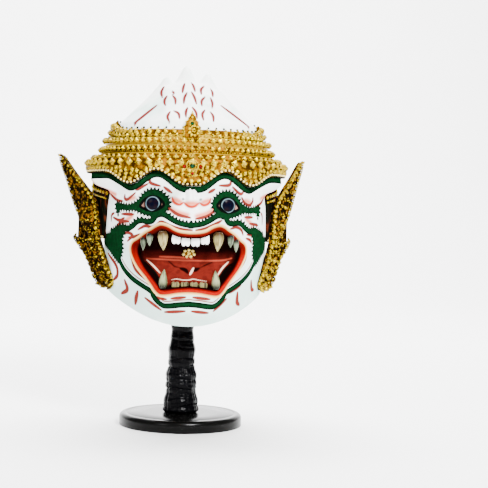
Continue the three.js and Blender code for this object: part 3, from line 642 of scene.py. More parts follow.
shell_mesh = mesh_of_rows("mask_skin", [*inside, *np.split(skin[:-1], len(outside) - 1), skin[-1:]])
shell = link("mask_skin", shell_mesh)
print("shell faces:", len(shell_mesh.polygons))


# %% Fields kept on the vertices
def keep_values(mesh, name, values):
    """Stores one number on each vertex, for a material to read."""
    mesh.attributes.new(name, "FLOAT", "POINT").data.foreach_set("value", values)


def keep_field(name, face_values, far, cap_values=()):
    """Stores a field of the face, and of the cap, on the shell; `far` is its value elsewhere."""
    values = np.full(len(shell_mesh.vertices), float(far))
    values[lining_points:lining_points + face_points] = face_values
    values[len(values) - len(cap_values):] = cap_values
    keep_values(shell_mesh, name, values)


keep_field("rose", rose, FAR, hair_field)
for name, field in {
    "green": green,
    "nose_line": on_paper(NOSTRIL_LINES, HALF_WIDTH["nose"]),
    "nose_dot": on_paper(NOSTRIL_DOTS, HALF_WIDTH["nose"]),
    "blush": on_paper(BLUSH, HALF_WIDTH["blush"]),
    "hollow": hollow,
    "white_line": np.minimum.reduce(white_line),
    "pink_line": in_mouth(PALATE_SHINE_LINES, 0.7),
    "jaw_shade": in_mouth(JAW_SHADE, 4.6),
}.items():
    keep_field(name, field, FAR)
for name, field in {"lips": to_lips, "mouth": mouth_gap, "eye_white": eye_white}.items():
    keep_field(name, field, NOWHERE)
for name, field in {"green_run": green_run, "green_teeth": green_teeth}.items():
    keep_field(name, field, 0)
print("fields:", len(shell_mesh.attributes))

# %% [markdown]
# ## A short hand for materials
#
# A material could be clicked together by hand. Written out, it is clearer what each layer of paint does, so
# a small helper adds one node at a time and links whatever it is given. Every pattern reads the object's
# own coordinates, so it stays on the surface from any side.

# %% Helper for shader nodes
def colour(red, green_part, blue):
    """A colour from 0 to 255 per channel, as a screen shows it, in the linear values that shaders use."""
    parts = [c / 255 for c in (red, green_part, blue)]
    return (*[c / 12.92 if c <= 0.04045 else ((c + 0.055) / 1.055) ** 2.4 for c in parts], 1)


class Finish:
    """One material, built node by node."""

    def __init__(self, name, **settings):
        self.material = bpy.data.materials.new(name)
        self.material.use_nodes = True
        self.tree = self.material.node_tree
        self.shader = self.tree.nodes["Principled BSDF"]
        self.place = self.tree.nodes.new("ShaderNodeTexCoord").outputs["Object"]
        for socket, value in settings.items():
            self.set(socket.replace("_", " "), value)

    def give(self, socket, value):
        if isinstance(value, bpy.types.NodeSocket):
            self.tree.links.new(value, socket)
        else:
            socket.default_value = value

    def set(self, socket, value):
        self.give(self.shader.inputs[socket], value)

    def add(self, kind, inputs, output=0, **settings):
        node = self.tree.nodes.new("ShaderNode" + kind)
        for key, value in settings.items():
            setattr(node, key, value)
        for key, value in inputs.items():
            self.give(node.inputs[key], value)
        return node.outputs[output]

    def math(self, operation, a, b=0.0):
        return self.add("Math", {0: a, 1: b}, operation=operation)

    def mix(self, amount, a, b):
        return self.add("Mix", {0: amount, 6: a, 7: b}, 2, data_type="RGBA")

    def step(self, value, low, high):
        """0 below low, 1 above high, and smooth between; low may be the larger."""
        inputs = {"Value": value, "From Min": low, "From Max": high}
        return self.add("MapRange", inputs, interpolation_type="SMOOTHSTEP")

    def field(self, name):
        return self.add("Attribute", {}, "Fac", attribute_name=name)

    def noise(self, size, detail=3.0, roughness=0.55):
        """Noise with features of about `size` millimetres."""
        inputs = {"Vector": self.place, "Scale": 1 / (size * MM), "Detail": detail, "Roughness": roughness}
        return self.add("TexNoise", inputs)

    def cover(self, under, value, low, high, paint):
        """Paint over a colour: none of it where the value is at low, all of it at high."""
        return self.mix(self.step(value, low, high), under, paint)

    def patches(self, size, detail, low, high, a, b):
        """Two colours in soft patches of about `size` millimetres."""
        return self.cover(a, self.noise(size, detail), low, high, b)

    def streaks(self, stretch, scale, detail=3.0):
        """Noise that is drawn out along the axes where the stretch is small."""
        drawn = self.add("Mapping", {"Vector": self.place, "Scale": stretch})
        return self.add("TexNoise", {"Vector": drawn, "Scale": scale, "Detail": detail})
    def height(self, value, depth):
        """Bump of a value between 0 and 1, `depth` millimetres high."""
        self.set("Normal", self.add("Bump", {"Height": value, "Distance": depth * MM, "Strength": 1.0}))

    def axis(self, letter):
        """X, Y or Z of the place, in millimetres."""
        return self.math("MULTIPLY", self.add("SeparateXYZ", {0: self.place}, letter), 1 / MM)


def two_tone(name, size, light, dark, detail=3, grain=None, **settings):
    """A finish that drifts between two colours; grain is the size, detail and depth of its bumps."""
    finish = Finish(name, **settings)
    finish.set("Base Color", finish.mix(finish.noise(size, detail), colour(*light), colour(*dark)))
    if grain:
        finish.height(finish.noise(*grain[:2]), grain[2])
    return finish

# %% [markdown]
# ## White lacquer and its paint
#
# The head is primed with chalk, sanded and lacquered white, and the paint lies under a last coat of varnish.
# One material holds all the layers: white, green bands with a toothed edge, pink strokes, a cream line
# round the red lips, and the dark red of the mouth. Some layers are painted light and shade: the white
# turns mint towards the bottom as painted shade, the upper lip is a darker red, the lips' cream edge is
# partly a painted highlight, and the mouth has painted shadows and highlights. The toothed edge is a wave
# along the band, which is crisper in the material than it would be on the mesh. The varnish has no
# mirror-like part here, because the white studio would wash out the green where the cheeks turn away.

# %% Colours of the lacquer
WHITE = colour(250, 252, 250)
MINT_TONE_AND_SHADE = colour(200, 226, 218)
GREEN = colour(6, 38, 16)
GREEN_PATCH = colour(6, 28, 12)
DARK_GREEN = colour(2, 10, 5)
PINK = colour(104, 38, 32)
HAIR_PINK = colour(100, 36, 35)
JAW_PINK = colour(120, 40, 30)
BLUSH_PINK = colour(214, 120, 96)
NOSE_RED = colour(170, 48, 28)
NOSTRIL_GREY = colour(120, 126, 122)
CREAM = colour(250, 206, 128)
VERMILION = colour(132, 6, 1)
LIP_PAINTED_SHADE = colour(92, 6, 3)
LIP_PAINTED_SHADOW = colour(52, 8, 5)
MAROON_SHADE = colour(68, 15, 11)
THROAT_SHADOW = colour(14, 2, 2)
FLOOR_RED = colour(94, 25, 18)
FLOOR_PATCH = colour(70, 17, 13)
GUM_SHINE_WHITE = colour(236, 196, 172)
PALATE_SHINE_PINK = colour(160, 62, 44)
BLACK = colour(4, 6, 5)
EYE_TINT = colour(128, 92, 82)
TEETH = {"pitch": 4.2, "height": 2.7}
JAW_LINE = {"away": 1.9, "half_width": 0.75}

# %% The lacquer's white, green and rose
lacquer = Finish("white_lacquer_paint", Roughness=0.4, Specular_IOR_Level=0.0)
height_mm = lacquer.axis("Z")
# Painted shade: the white turns mint towards the bottom of the face, most under the jaw; the noise adds mint
# clouds at random all over.
shade_low_down = lacquer.math("MULTIPLY", lacquer.step(height_mm, 235, 150), 0.36)
clouds_and_shade = lacquer.math("ADD", lacquer.noise(38, 2), shade_low_down)
painted = lacquer.cover(WHITE, clouds_and_shade, 0.42, 0.82, MINT_TONE_AND_SHADE)
painted = lacquer.cover(painted, lacquer.field("blush"), 4.2, -0.5, BLUSH_PINK)

green_gap = lacquer.field("green")
style = lacquer.field("green_teeth")
wave = lacquer.math("SINE", lacquer.math("MULTIPLY", lacquer.field("green_run"), math.pi / TEETH["pitch"]))
scallop = lacquer.math("MULTIPLY", lacquer.math("MULTIPLY", wave, wave), TEETH["height"])
toothed = lacquer.math("MULTIPLY", scallop, lacquer.math("MAXIMUM", style, 0))
green_edge = lacquer.math("SUBTRACT", green_gap, toothed)
mottled = lacquer.patches(3.4, 3, 0.4, 0.68, GREEN, GREEN_PATCH)
at_edge = lacquer.step(green_edge, -2.4, -0.7)
shaded = lacquer.math("MAXIMUM", at_edge, lacquer.step(green_gap, -0.8, 0.4))
green_paint = lacquer.mix(shaded, mottled, DARK_GREEN)

stroke_colour = lacquer.cover(PINK, height_mm, 330, 334, HAIR_PINK)
for name, low, high, paint in [
    ("rose", 0.6, -0.4, stroke_colour),
    ("nose_line", 0.9, -0.7, NOSE_RED),
    ("nose_dot", 0.8, -0.8, NOSTRIL_GREY),
]:
    painted = lacquer.cover(painted, lacquer.field(name), low, high, paint)
from_line = lacquer.math("ABSOLUTE", lacquer.math("SUBTRACT", green_gap, JAW_LINE["away"]))
beside = lacquer.math("SUBTRACT", JAW_LINE["half_width"], from_line)
jaw_line = lacquer.math("MULTIPLY", lacquer.step(beside, -0.2, 0.3), lacquer.step(style, -0.4, -0.7))
painted = lacquer.mix(jaw_line, painted, JAW_PINK)
painted = lacquer.cover(painted, green_edge, 0.2, -0.15, green_paint)

# %% The lacquer's eyes and lips
eye_gap = lacquer.field("eye_white")
painted = lacquer.cover(painted, eye_gap, 2.1, 1.5, BLACK)
painted = lacquer.cover(painted, eye_gap, -0.7, -1.4, EYE_TINT)

lip_gap = lacquer.field("lips")
painted = lacquer.cover(painted, lip_gap, 2.2, 1.2, CREAM)
# Painted shade: the upper lip, which faces down, is a darker red than the lower one, and turns near black
# towards the inside of the mouth as painted shadow.
upper_lip = lacquer.step(height_mm, 190, 215)
shadow_far_in = lacquer.math("MULTIPLY", upper_lip, lacquer.step(lip_gap, -1.5, -5.5))
lip_red = lacquer.mix(shadow_far_in, lacquer.mix(upper_lip, VERMILION, LIP_PAINTED_SHADE), LIP_PAINTED_SHADOW)
# The cream at the lip's outer edge that fades into the red is partly a painted line and partly a painted
# highlight along the roll of the lip.
lip_paint_and_sheen = lacquer.cover(CREAM, lip_gap, 1.3, -2.2, lip_red)
painted = lacquer.cover(painted, lip_gap, 1.3, 1.1, lip_paint_and_sheen)

# %% The lacquer inside the mouth
mouth_depth = lacquer.field("mouth")
streaked = lacquer.math("MULTIPLY", lacquer.streaks((0.2, 0.2, 1), 320), 7)
# Painted shade: the palate, which faces down, is a dark maroon that turns near black further up, as painted
# shadow deep in the mouth.
palate = lacquer.cover(MAROON_SHADE, lacquer.math("ADD", height_mm, streaked), 195, 208, THROAT_SHADOW)
# Painted highlight: pink lines along the palate's edge.
palate = lacquer.cover(palate, lacquer.field("pink_line"), 1.1, -0.6, PALATE_SHINE_PINK)
floor = lacquer.patches(9, 3, 0.35, 0.7, FLOOR_RED, FLOOR_PATCH)
inner = lacquer.cover(floor, height_mm, 189.5, 192.5, palate)
# Painted shadow beside the jaw and in the tongue's hollows, and painted highlights on the edges of the jaw,
# the drop and the gums.
for name, low, high, paint in [
    ("jaw_shade", 0.5, -0.8, BLACK),
    ("hollow", 0.7, -0.9, THROAT_SHADOW),
    ("white_line", 0.35, -0.35, GUM_SHINE_WHITE),
]:
    inner = lacquer.cover(inner, lacquer.field(name), low, high, paint)
# Painted shadow: near black along the mouth's inner rim under the lips, before the mouth's own colours begin.
inner = lacquer.cover(THROAT_SHADOW, mouth_depth, -4, -9, inner)
lacquer.set("Base Color", lacquer.cover(painted, mouth_depth, 0.5, -3, inner))
lacquer.height(lacquer.noise(9, 4), 0.1)

# %% Bare paper inside the head
paper = two_tone("brown_paper", 14, (120, 92, 62), (78, 56, 36), 5, (5, 5, 0.6), Roughness=0.85)
shell_mesh.materials.append(lacquer.material)
shell_mesh.materials.append(paper.material)
finish_of_face = np.zeros(len(shell_mesh.polygons), int)
finish_of_face[:lining_faces] = 1
shell_mesh.polygons.foreach_set("material_index", finish_of_face)


def place(piece, node):
    """A finished piece: it rides on the body and stands for a node, whose plain solid it hides."""
    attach(piece, "root")
    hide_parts(node)


place(shell, "mask_shell")
print("materials:", len(bpy.data.materials))

# %% [markdown]
# ## Gold for the ornaments
#
# Thai ornament makers press lacquer putty into stone moulds, lay the little leaves and florets on the piece
# in rows, and gild them. What stands up keeps its gold leaf, more or less worn, and the ground under it
# is partly old brown gold and partly painted shade between the ornaments. Both are painted dimmer towards
# the sides as painted shade, where the ring turns away from the lamp. One function makes the leaf for any
# amount of wear, and a copy with more brown is painted shade for the left ear ornament.

# %% Gold leaf and its dark ground
def gold_leaf(name, bare):
    """Gold leaf that has worn down to brown on a share `bare` of its surface, with painted shade towards the
    sides.
    """
    leaf = Finish(name, Metallic=0.4, Roughness=0.2, Specular_IOR_Level=0.05)
    tone = leaf.patches(7, 4, 0.38, 0.66, colour(218, 190, 0), colour(166, 132, 0))
    # Painted shade: the leaf turns darker towards the sides of the head, where it turns away from the lamp.
    shade_at_sides = leaf.step(leaf.math("ABSOLUTE", leaf.axis("X")), 30, 90)
    tone = leaf.mix(leaf.math("MULTIPLY", shade_at_sides, 0.6), tone, colour(112, 84, 0))
    leaf.set("Base Color", leaf.patches(2.2, 3, 0.72 - bare, 0.8 - bare, tone, colour(34, 20, 0)))
    leaf.height(leaf.noise(1.2, 3), 0.12)
    return leaf


gold = gold_leaf("bright_gold_leaf", 0.18)
old_gold = gold_leaf("worn_gold_leaf", 0.24)
# A copy with more brown, as painted shade for the left ear ornament.
shaded_gold = gold_leaf("shaded_gold_leaf", 0.34)

# The dark ground between the ornaments is partly old brown gold and partly painted shade in the hollows
# between them.
gold_ground_and_shade = Finish("brown_gold_ground_and_shade", Roughness=0.5, Specular_IOR_Level=0.0)
worn = gold_ground_and_shade.step(gold_ground_and_shade.noise(6, 5), 0.42, 0.62)
# Painted shade: the ground is darker at the sides than in front, where the ring turns away from the lamp.
at_front = gold_ground_and_shade.mix(worn, colour(58, 34, 0), colour(128, 82, 0))
shade_at_sides = gold_ground_and_shade.mix(worn, colour(26, 15, 1), colour(88, 58, 0))
from_middle = gold_ground_and_shade.math("ABSOLUTE", gold_ground_and_shade.axis("X"))
gold_ground_and_shade.set("Base Color", gold_ground_and_shade.cover(shade_at_sides, from_middle, 78, 28, at_front))
gold_ground_and_shade.height(gold_ground_and_shade.noise(1.8, 4), 0.3)

DULL = {"Metallic": 0.3, "Roughness": 0.3, "Specular_IOR_Level": 0.05}
smooth_gold = two_tone("plain_gold_band", 11, (184, 148, 0), (126, 92, 0), grain=(5, 3, 0.15), **DULL)
print("golds:", gold.material.name, old_gold.material.name, shaded_gold.material.name)

# %% [markdown]
# ## One item, many times
#
# A row of leaves could be modelled one by one, but Geometry Nodes can set one small item along any line:
# the line is resampled to a count, the item is turned so that it follows the line and faces outwards, and
# the copies are made real. One tree serves every row of the coronet and of the ear ornaments.


# %% Tree that sets an item along a line
SWAY = 0.35  # radians by which an item may lean either way
SEED = 7


def ornament_tree():
    tree = bpy.data.node_groups.new("row_of_ornaments", "GeometryNodeTree")
    tree.is_modifier = True
    face = tree.interface
    face.new_socket("Geometry", in_out="OUTPUT", socket_type="NodeSocketGeometry")
    face.new_socket("Geometry", in_out="INPUT", socket_type="NodeSocketGeometry")
    for name, kind in [("Item", "Object"), ("Count", "Int"), ("Size", "Float"), ("Size at the end", "Float"),
                       ("Roundness", "Float"), ("Lean", "Float"), ("Finish", "Material")]:
        face.new_socket(name, in_out="INPUT", socket_type="NodeSocket" + kind)

    def add(kind, inputs=(), **settings):
        node = tree.nodes.new(kind)
        for key, value in settings.items():
            setattr(node, key, value)
        for key, value in dict(inputs).items():
            if isinstance(value, bpy.types.NodeSocket):
                tree.links.new(value, node.inputs[key])
            else:
                node.inputs[key].default_value = value
        return node

    given = add("NodeGroupInput").outputs
    line = add("GeometryNodeMeshToCurve", {"Mesh": given["Geometry"]})
    line = add("GeometryNodeResampleCurve", {"Curve": line.outputs[0], "Count": given["Count"]})
    radial = add("ShaderNodeVectorMath", {0: add("GeometryNodeInputPosition").outputs[0], 1: (-1, -1, 0)},
                 operation="MULTIPLY")
    radial = add("ShaderNodeVectorMath", {0: radial.outputs[0]}, operation="NORMALIZE")
    ways = {0: given["Roundness"], 4: (0, 1, 0), 5: radial.outputs[0]}
    inward = add("ShaderNodeMix", ways, data_type="VECTOR")
    tangent = add("GeometryNodeInputTangent")
    along = add("FunctionNodeAlignRotationToVector", {"Vector": tangent.outputs[0]}, axis="X")
    facing = add("FunctionNodeAlignRotationToVector",
                 {"Rotation": along.outputs[0], "Vector": inward.outputs[1]}, axis="Y", pivot_axis="X")
    chance = add("FunctionNodeRandomValue", {"Min": -SWAY, "Max": SWAY, "Seed": SEED}, data_type="FLOAT")
    chance = next(o for o in chance.outputs if o.enabled)
    lean = add("ShaderNodeMath", {0: given["Lean"], 1: chance}, operation="ADD")
    sway = add("ShaderNodeCombineXYZ", {"Y": lean.outputs[0]})
    turned = add("FunctionNodeRotateRotation",
                 {"Rotation": facing.outputs[0], "Rotate By": sway.outputs[0]}, rotation_space="LOCAL")
    part = add("GeometryNodeSplineParameter").outputs["Factor"]
    size = add("ShaderNodeMix", {0: part, 2: given["Size"], 3: given["Size at the end"]}, data_type="FLOAT")
    item = add("GeometryNodeObjectInfo", {"Object": given["Item"]})
    copies = add("GeometryNodeInstanceOnPoints", {
        "Points": line.outputs[0], "Instance": item.outputs["Geometry"],
        "Rotation": turned.outputs[0], "Scale": size.outputs[0],
    })
    real = add("GeometryNodeRealizeInstances", {"Geometry": copies.outputs[0]})
    done = add("GeometryNodeSetMaterial", {"Geometry": real.outputs[0], "Material": given["Finish"]})
    tree.links.new(done.outputs[0], add("NodeGroupOutput").inputs["Geometry"])
    return tree


ROW_TREE = ornament_tree()
ROW_INPUTS = {s.name: s.identifier for s in ROW_TREE.interface.items_tree if s.in_out == "INPUT"}
print("inputs of the tree:", list(ROW_INPUTS))


# %% Rows and items
def row(line, item, count, size, end_size=None, closed=True, round_head=True, lean=0.0, finish=gold):
    """A plain mesh of one item set `count` times along a line of points in millimetres."""
    points = [tuple(p) for p in (np.array(line) * MM)]
    edges = [(i, i + 1) for i in range(len(points) - 1)]
    if closed:
        edges.append((len(points) - 1, 0))
    mesh = bpy.data.meshes.new("row_line")
    mesh.from_pydata(points, edges, [])
    holder = link("row_line", mesh)
    modifier = holder.modifiers.new("row", "NODES")
    modifier.node_group = ROW_TREE
    values = {
        "Item": item, "Count": count, "Size": size, "Size at the end": end_size or size,
        "Roundness": float(round_head), "Lean": lean, "Finish": finish.material,
    }
    for name, value in values.items():
        modifier[ROW_INPUTS[name]] = value
    evaluated = holder.evaluated_get(bpy.context.evaluated_depsgraph_get())
    made = bpy.data.meshes.new_from_object(evaluated)
    bpy.data.objects.remove(holder)
    return made


def facing_out(mesh):
    """Turns the faces of a closed mesh outwards, after its doubles are merged."""
    work = bmesh.new()
    work.from_mesh(mesh)
    bmesh.ops.remove_doubles(work, verts=work.verts, dist=1e-7)
    bmesh.ops.recalc_face_normals(work, faces=work.faces)
    work.to_mesh(mesh)
    work.free()
    return mesh


def capped(name, loops):
    """A closed mesh from loops of points; each end is drawn together at its middle."""
    ends = [loops[k].mean(axis=0)[None] for k in (0, -1)]
    return facing_out(mesh_of_rows(name, [ends[0], *loops, ends[1]]))


def boss(name, outline, layers):
    """A raised item facing -Y, from an outline of (x, z) and layers of (scale, height) from its back."""
    middle = np.mean(outline, axis=0)
    loops = []
    for scale, height in layers:
        flat = middle + (np.array(outline) - middle) * scale
        loops.append(np.column_stack([flat[:, 0], np.full(len(flat), -height), flat[:, 1]]))
    return capped(name, loops)


def item_object(name, outline, layers):
    thing = link(name, boss(name, outline, layers))
    thing.hide_render = True
    return thing


def round_outline(radius, points, lobes=0, depth=0.0):
    reach = radius * (1 - depth * (1 - np.cos(lobes * full_turn(points))) / 2)
    return np.column_stack([reach * np.cos(full_turn(points)), reach * np.sin(full_turn(points))])


# Each item is about one millimetre large, so that its size in a row is its scale.
LEAF = [
    (0, 1.0), (0.22, 0.62), (0.46, 0.28), (0.4, -0.02), (0.16, -0.14), (-0.16, -0.14), (-0.4, -0.02),
    (-0.46, 0.28), (-0.22, 0.62),
]  # fmt: skip
CURL = [
    (-0.1, 1.0), (0.16, 0.72), (0.5, 0.42), (0.52, 0.08), (0.24, -0.16), (-0.14, -0.12), (-0.34, 0.12),
    (-0.2, 0.34), (0.06, 0.3), (0.0, 0.5), (-0.2, 0.66),
]  # fmt: skip
LEAF_LAYERS = [(1, -0.15), (1, 0.08), (0.6, 0.3), (0.15, 0.36)]
CURL_LAYERS = [(1, -0.15), (1, 0.1), (0.6, 0.34)]
FLORET_LAYERS = [(1, -0.1), (1, 0.12), (0.45, 0.3), (0.3, 0.42)]
BEAD_LAYERS = [(0.7, -0.32), (1, 0.0), (0.75, 0.33), (0.3, 0.48)]
leaf_item = item_object("leaf", LEAF, LEAF_LAYERS)
down_leaf = item_object("down_leaf", [(x, -z) for x, z in LEAF], LEAF_LAYERS)
curl_item = item_object("curl", CURL, CURL_LAYERS)
floret_item = item_object("floret", round_outline(0.5, 16, 4, 0.4), FLORET_LAYERS)
bead_item = item_object("bead", round_outline(0.5, 8), BEAD_LAYERS)


def joined(name, meshes, finishes):
    """One object from several meshes, each with its finish."""
    work = bmesh.new()
    for mesh, index in meshes:
        first = len(work.faces)
        work.from_mesh(mesh)
        work.faces.ensure_lookup_table()
        for face in work.faces[first:]:
            face.material_index = index
            face.smooth = True
        bpy.data.meshes.remove(mesh)
    whole = bpy.data.meshes.new(name)
    work.to_mesh(whole)
    work.free()
    thing = link(name, whole, *finishes)
    triangles = sum(len(p.vertices) - 2 for p in whole.polygons)
    print(name, "triangles:", triangles)
    return thing


# %% [markdown]
# ## The coronet
#
# The coronet is a stepped ring round the forehead, wider at its wavy lower edge than at its leafy top. The
# ring itself follows a profile, as on a lathe, except for the edge that waves over the brows. On it lie the
# rows of ornament: beads along the edge, hanging leaves, florets, and standing leaves at the top.

# %% Profile of the coronet
CORONET = np.array([
    # height, half width at the side
    [293, 112.6], [297, 112.2], [299.5, 110], [303, 105], [306, 100], [307.5, 97.2], [309, 97],
    [310, 98.6], [312.5, 99], [314.5, 97.8], [315.2, 96], [316, 93.5], [317.5, 92.4], [319, 93.6],
    [321.5, 94.2], [324, 93], [325.5, 90.4], [327, 87.2], [328.5, 87.4], [330, 88.6], [332.5, 88.2],
    [334, 86.4], [337, 84.6], [341, 83], [344, 81.8],
])
CORONET_DEPTH = 1.03
DIP = {"from": 318, "drop": 11.6}
CORONET_LIP = {"half_width": 113.5, "in": 1.5, "middle": 4}
MEDALLION = {"z": 292, "radius": 16, "out": 4}
SEAT = 1.4
CORONET_COLUMNS = 288
ring_angles = full_turn(CORONET_COLUMNS)


def coronet_point(angle, z, half_width, out=0.0):
    """A point on the coronet's outside, moved out by some millimetres."""
    angle = np.asarray(angle, float)
    x = half_width * np.sin(angle)
    swell = MEDALLION["out"] * bell(x, MEDALLION["radius"]) * bell(z - MEDALLION["z"], MEDALLION["radius"])
    y = -half_width * CORONET_DEPTH * np.cos(angle) - swell * smooth(0, 0.5, np.cos(angle))
    length = np.hypot(x, y)
    return np.column_stack([x * (1 + out / length), y * (1 + out / length), z + np.zeros_like(x)])


def edge_width(angle):
    """Half width of the ring at its lower edge; in the middle of the face it is drawn in."""
    in_the_middle = CORONET_LIP["middle"] * smooth(0.75, 1, np.cos(angle))
    return CORONET_LIP["half_width"] - CORONET_LIP["in"] - in_the_middle


def edge_line(angle, above=0.0, out=0.0):
    """The coronet's lower edge, or a line a little above it."""
    width = edge_width(angle)
    z = coronet_edge(angle, width) + above
    width = np.interp(z, [270, 293], [width.min(), CORONET[0, 1]])
    return coronet_point(angle, z, np.maximum(width, edge_width(angle)), out)


def sunk(angle, z):
    """Height of a row over the face, where the rows above the middle sink towards the brows."""
    share = np.clip((z - DIP["from"]) / (CORONET[-1, 0] + 2 - DIP["from"]), 0, 1)
    return z - DIP["drop"] * share * smooth(0.1, 0.55, np.cos(angle))


def ring_line(z, out=0.0):
    """A line round the coronet at one height of its profile."""
    return coronet_point(ring_angles, sunk(ring_angles, z), np.interp(z, CORONET[:, 0], CORONET[:, 1]), out)


low, high = edge_line(ring_angles), ring_line(CORONET[0, 0])
coronet_rows = [mix(low, high, share) for share in (0, 0.33, 0.66)]
coronet_rows += [ring_line(z) for z in CORONET[:, 0]]
for z in (344, 334, 303):
    low = sunk(ring_angles, z)
    x, y = head_point(ring_angles, low, SEAT)
    coronet_rows.append(np.column_stack([x, y, low]))
x, y = head_point(ring_angles, 290, SEAT)
coronet_rows.append(np.column_stack([x, y, coronet_edge(ring_angles, EDGE_HALF_WIDTH)]))
coronet_body = mesh_of_rows("coronet_body", coronet_rows, ring=True)
print("faces of the ring:", len(coronet_body.polygons))

# %% Beads of the coronet
MATT = {"Roughness": 0.35, "Specular_IOR_Level": 0.1}
cream = two_tone("cream_beads", 3, (250, 232, 160), (206, 164, 60), 2, **MATT)
GREASY = {"Roughness": 0.4, "Specular_IOR_Level": 0.05}
dark_dots = two_tone("dark_dots", 2, (30, 30, 16), (8, 8, 4), 2, **GREASY)
EDGE_BEADS = 164
between_beads = ring_angles + np.pi / EDGE_BEADS
coronet_parts = [
    (coronet_body, 1),
    (row(edge_line(ring_angles, 1.5, 0.6), bead_item, EDGE_BEADS, 2.6, finish=cream), 2),
    (row(edge_line(between_beads, 0.3, 0.3), bead_item, EDGE_BEADS, 2.3, finish=dark_dots), 3),
    (row(edge_line(ring_angles, 6.6, 0.4), down_leaf, 104, 5.4), 0),
]

# %% Rows of ornament round the coronet
CORONET_ROWS = [
    # height, distance out, item, count, size
    (296.4, 0.5, floret_item, 60, 8.6),
    (302.2, 0.6, floret_item, 78, 6.8),
    (311.6, 0.2, floret_item, 84, 5.8),
    (308.6, 0.4, bead_item, 200, 1.7),
    (314.6, 0.1, bead_item, 200, 1.7),
    (322.0, 0.3, floret_item, 76, 6.6),
    (326.3, 0.6, bead_item, 150, 2.4),
    (331.6, 0.2, floret_item, 72, 6.0),
    (335.6, 0.5, curl_item, 58, 6.4),
    (337.8, 0.4, leaf_item, 58, 5.0),
    (340.4, 0.0, floret_item, 74, 5.0),
]
for z, out, item, count, size in CORONET_ROWS:
    coronet_parts.append((row(ring_line(z, out), item, count, size), 0))
top_line = ring_line(346.6, 1.5)
for columns, count in [(np.arange(-50, 51), 21), (np.arange(86, 203), 25)]:  # in front and behind
    dots = row(top_line[columns], bead_item, count, 2.8, closed=False, finish=dark_dots)
    coronet_parts.append((dots, 3))

# %% Hanging points over the nose and the temples
HANGING = [
    # middle and half width in degrees, heights above the edge
    (0, 11, (11.5, 16.5)),
    (38, 7, (10.5, 14.5)),
    (-38, 7, (10.5, 14.5)),
]
FLORET_PITCH = 2.6  # in degrees
for middle, half, rows_above in HANGING:
    for above in rows_above:
        angles = np.radians(np.linspace(middle - half, middle + half, 25))
        count = max(2, round(2 * half / FLORET_PITCH))
        line = edge_line(angles, above, 0.5)
        coronet_parts.append((row(line, floret_item, count, 6.0, closed=False), 0))
        half -= 3
print("rows on the coronet:", len(coronet_parts))

# %% Medallion and pointed leaf
GEMS = [
    # name of the CAD gem, x, z, radius, size of its gold setting
    ("spike_gem", 0, 339, 1.9, 2.7),
    ("medallion_gem", 0, 293, 2.6, 3.6),
    ("medallion_gem_left", -8.5, 292, 2, 2.9),
    ("medallion_gem_right", 8.5, 292, 2, 2.9),
    ("medallion_gem_top", 0, 303, 2, 2.9),
    ("medallion_gem_bottom", 0, 285, 2, 2.9),
]
SPIKE = {"front": -95.5, "back": -88.5, "foot": 325}
SPIKE_LAYERS = [(1, 88.5), (1, 94.7), (0.8, 95.1), (0.5, 95.3)]
SPIKE_HALF = [
    (0, 352), (-2.2, 347.5), (-4.2, 345), (-4, 342.5), (-6.8, 341), (-6.2, 338), (-8.6, 335.5), (-8, 332),
    (-7, 323),
]  # fmt: skip
SPIKE_OUTLINE = SPIKE_HALF + [(-x, z) for x, z in SPIKE_HALF[:0:-1]]
RING = {"round_head": False}
STRIP = {"closed": False, "round_head": False}


def front_depth(x, z):
    """Depth of the coronet's front at a place in front view."""
    if z > SPIKE["foot"]:
        return SPIKE["front"]
    width = np.interp(z, [272, 293, *CORONET[1:, 0]], [108, CORONET[0, 1], *CORONET[1:, 1]])
    return coronet_point(np.arcsin(x / width), z, width)[0, 1]


def circle(x, z, radius, y, points=24):
    """An upright circle of points that faces -Y."""
    across, up = radius * np.cos(full_turn(points)), radius * np.sin(full_turn(points))
    return np.column_stack([x + across, np.full(points, y), z + up])


spike_rim = np.array([(x, SPIKE["front"] + 1.6, z) for x, z in SPIKE_OUTLINE])
spike_middle = np.array([(0, SPIKE["front"] + 0.2, 341.5), (0, SPIKE["front"] + 0.4, 350)])
coronet_parts += [
    (boss("spike", SPIKE_OUTLINE, SPIKE_LAYERS), 1),
    (row(spike_rim, bead_item, 40, 1.8, **RING), 0),
    (row(spike_middle, floret_item, 3, 3.6, 2.4, **STRIP), 0),
    (row(circle(2, 331.5, 4.2, -96.4), leaf_item, 9, 3.6, lean=3.1, **RING), 0),
    (row(circle(2, 331.5, 1.6, -97), bead_item, 5, 2.0, **RING), 0),
]
for _, x, z, _, setting in GEMS:
    line = circle(x, z, setting, front_depth(x, z) - 0.7)
    coronet_parts.append((row(line, bead_item, 12, 1.5, **RING), 0))
medallion_line = circle(0, 293, 6.2, front_depth(0, 293) - 0.2)
coronet_parts.append((row(medallion_line, bead_item, 22, 1.7, **RING), 0))
coronet = joined("gilt_coronet", coronet_parts, [gold, gold_ground_and_shade, cream, dark_dots])
place(coronet, "coronet")

# %% [markdown]
# ### Plain bands
#
# Between the rows of florets the ring stays plain: a bright rounded ridge and a smooth golden hollow. They
# are faces of the ring itself, so they only take another finish.

# %% Plain bands of the ring
PLAIN_BANDS = [(304.6, 307.8), (314.9, 318.6)]  # heights of their lower and upper edges
coronet.data.materials.append(smooth_gold.material)
for face in coronet.data.polygons:
    z = face.center.z / MM
    if face.material_index == 1 and any(low < z < high for low, high in PLAIN_BANDS):
        face.material_index = 4
print("plain bands:", len(PLAIN_BANDS))

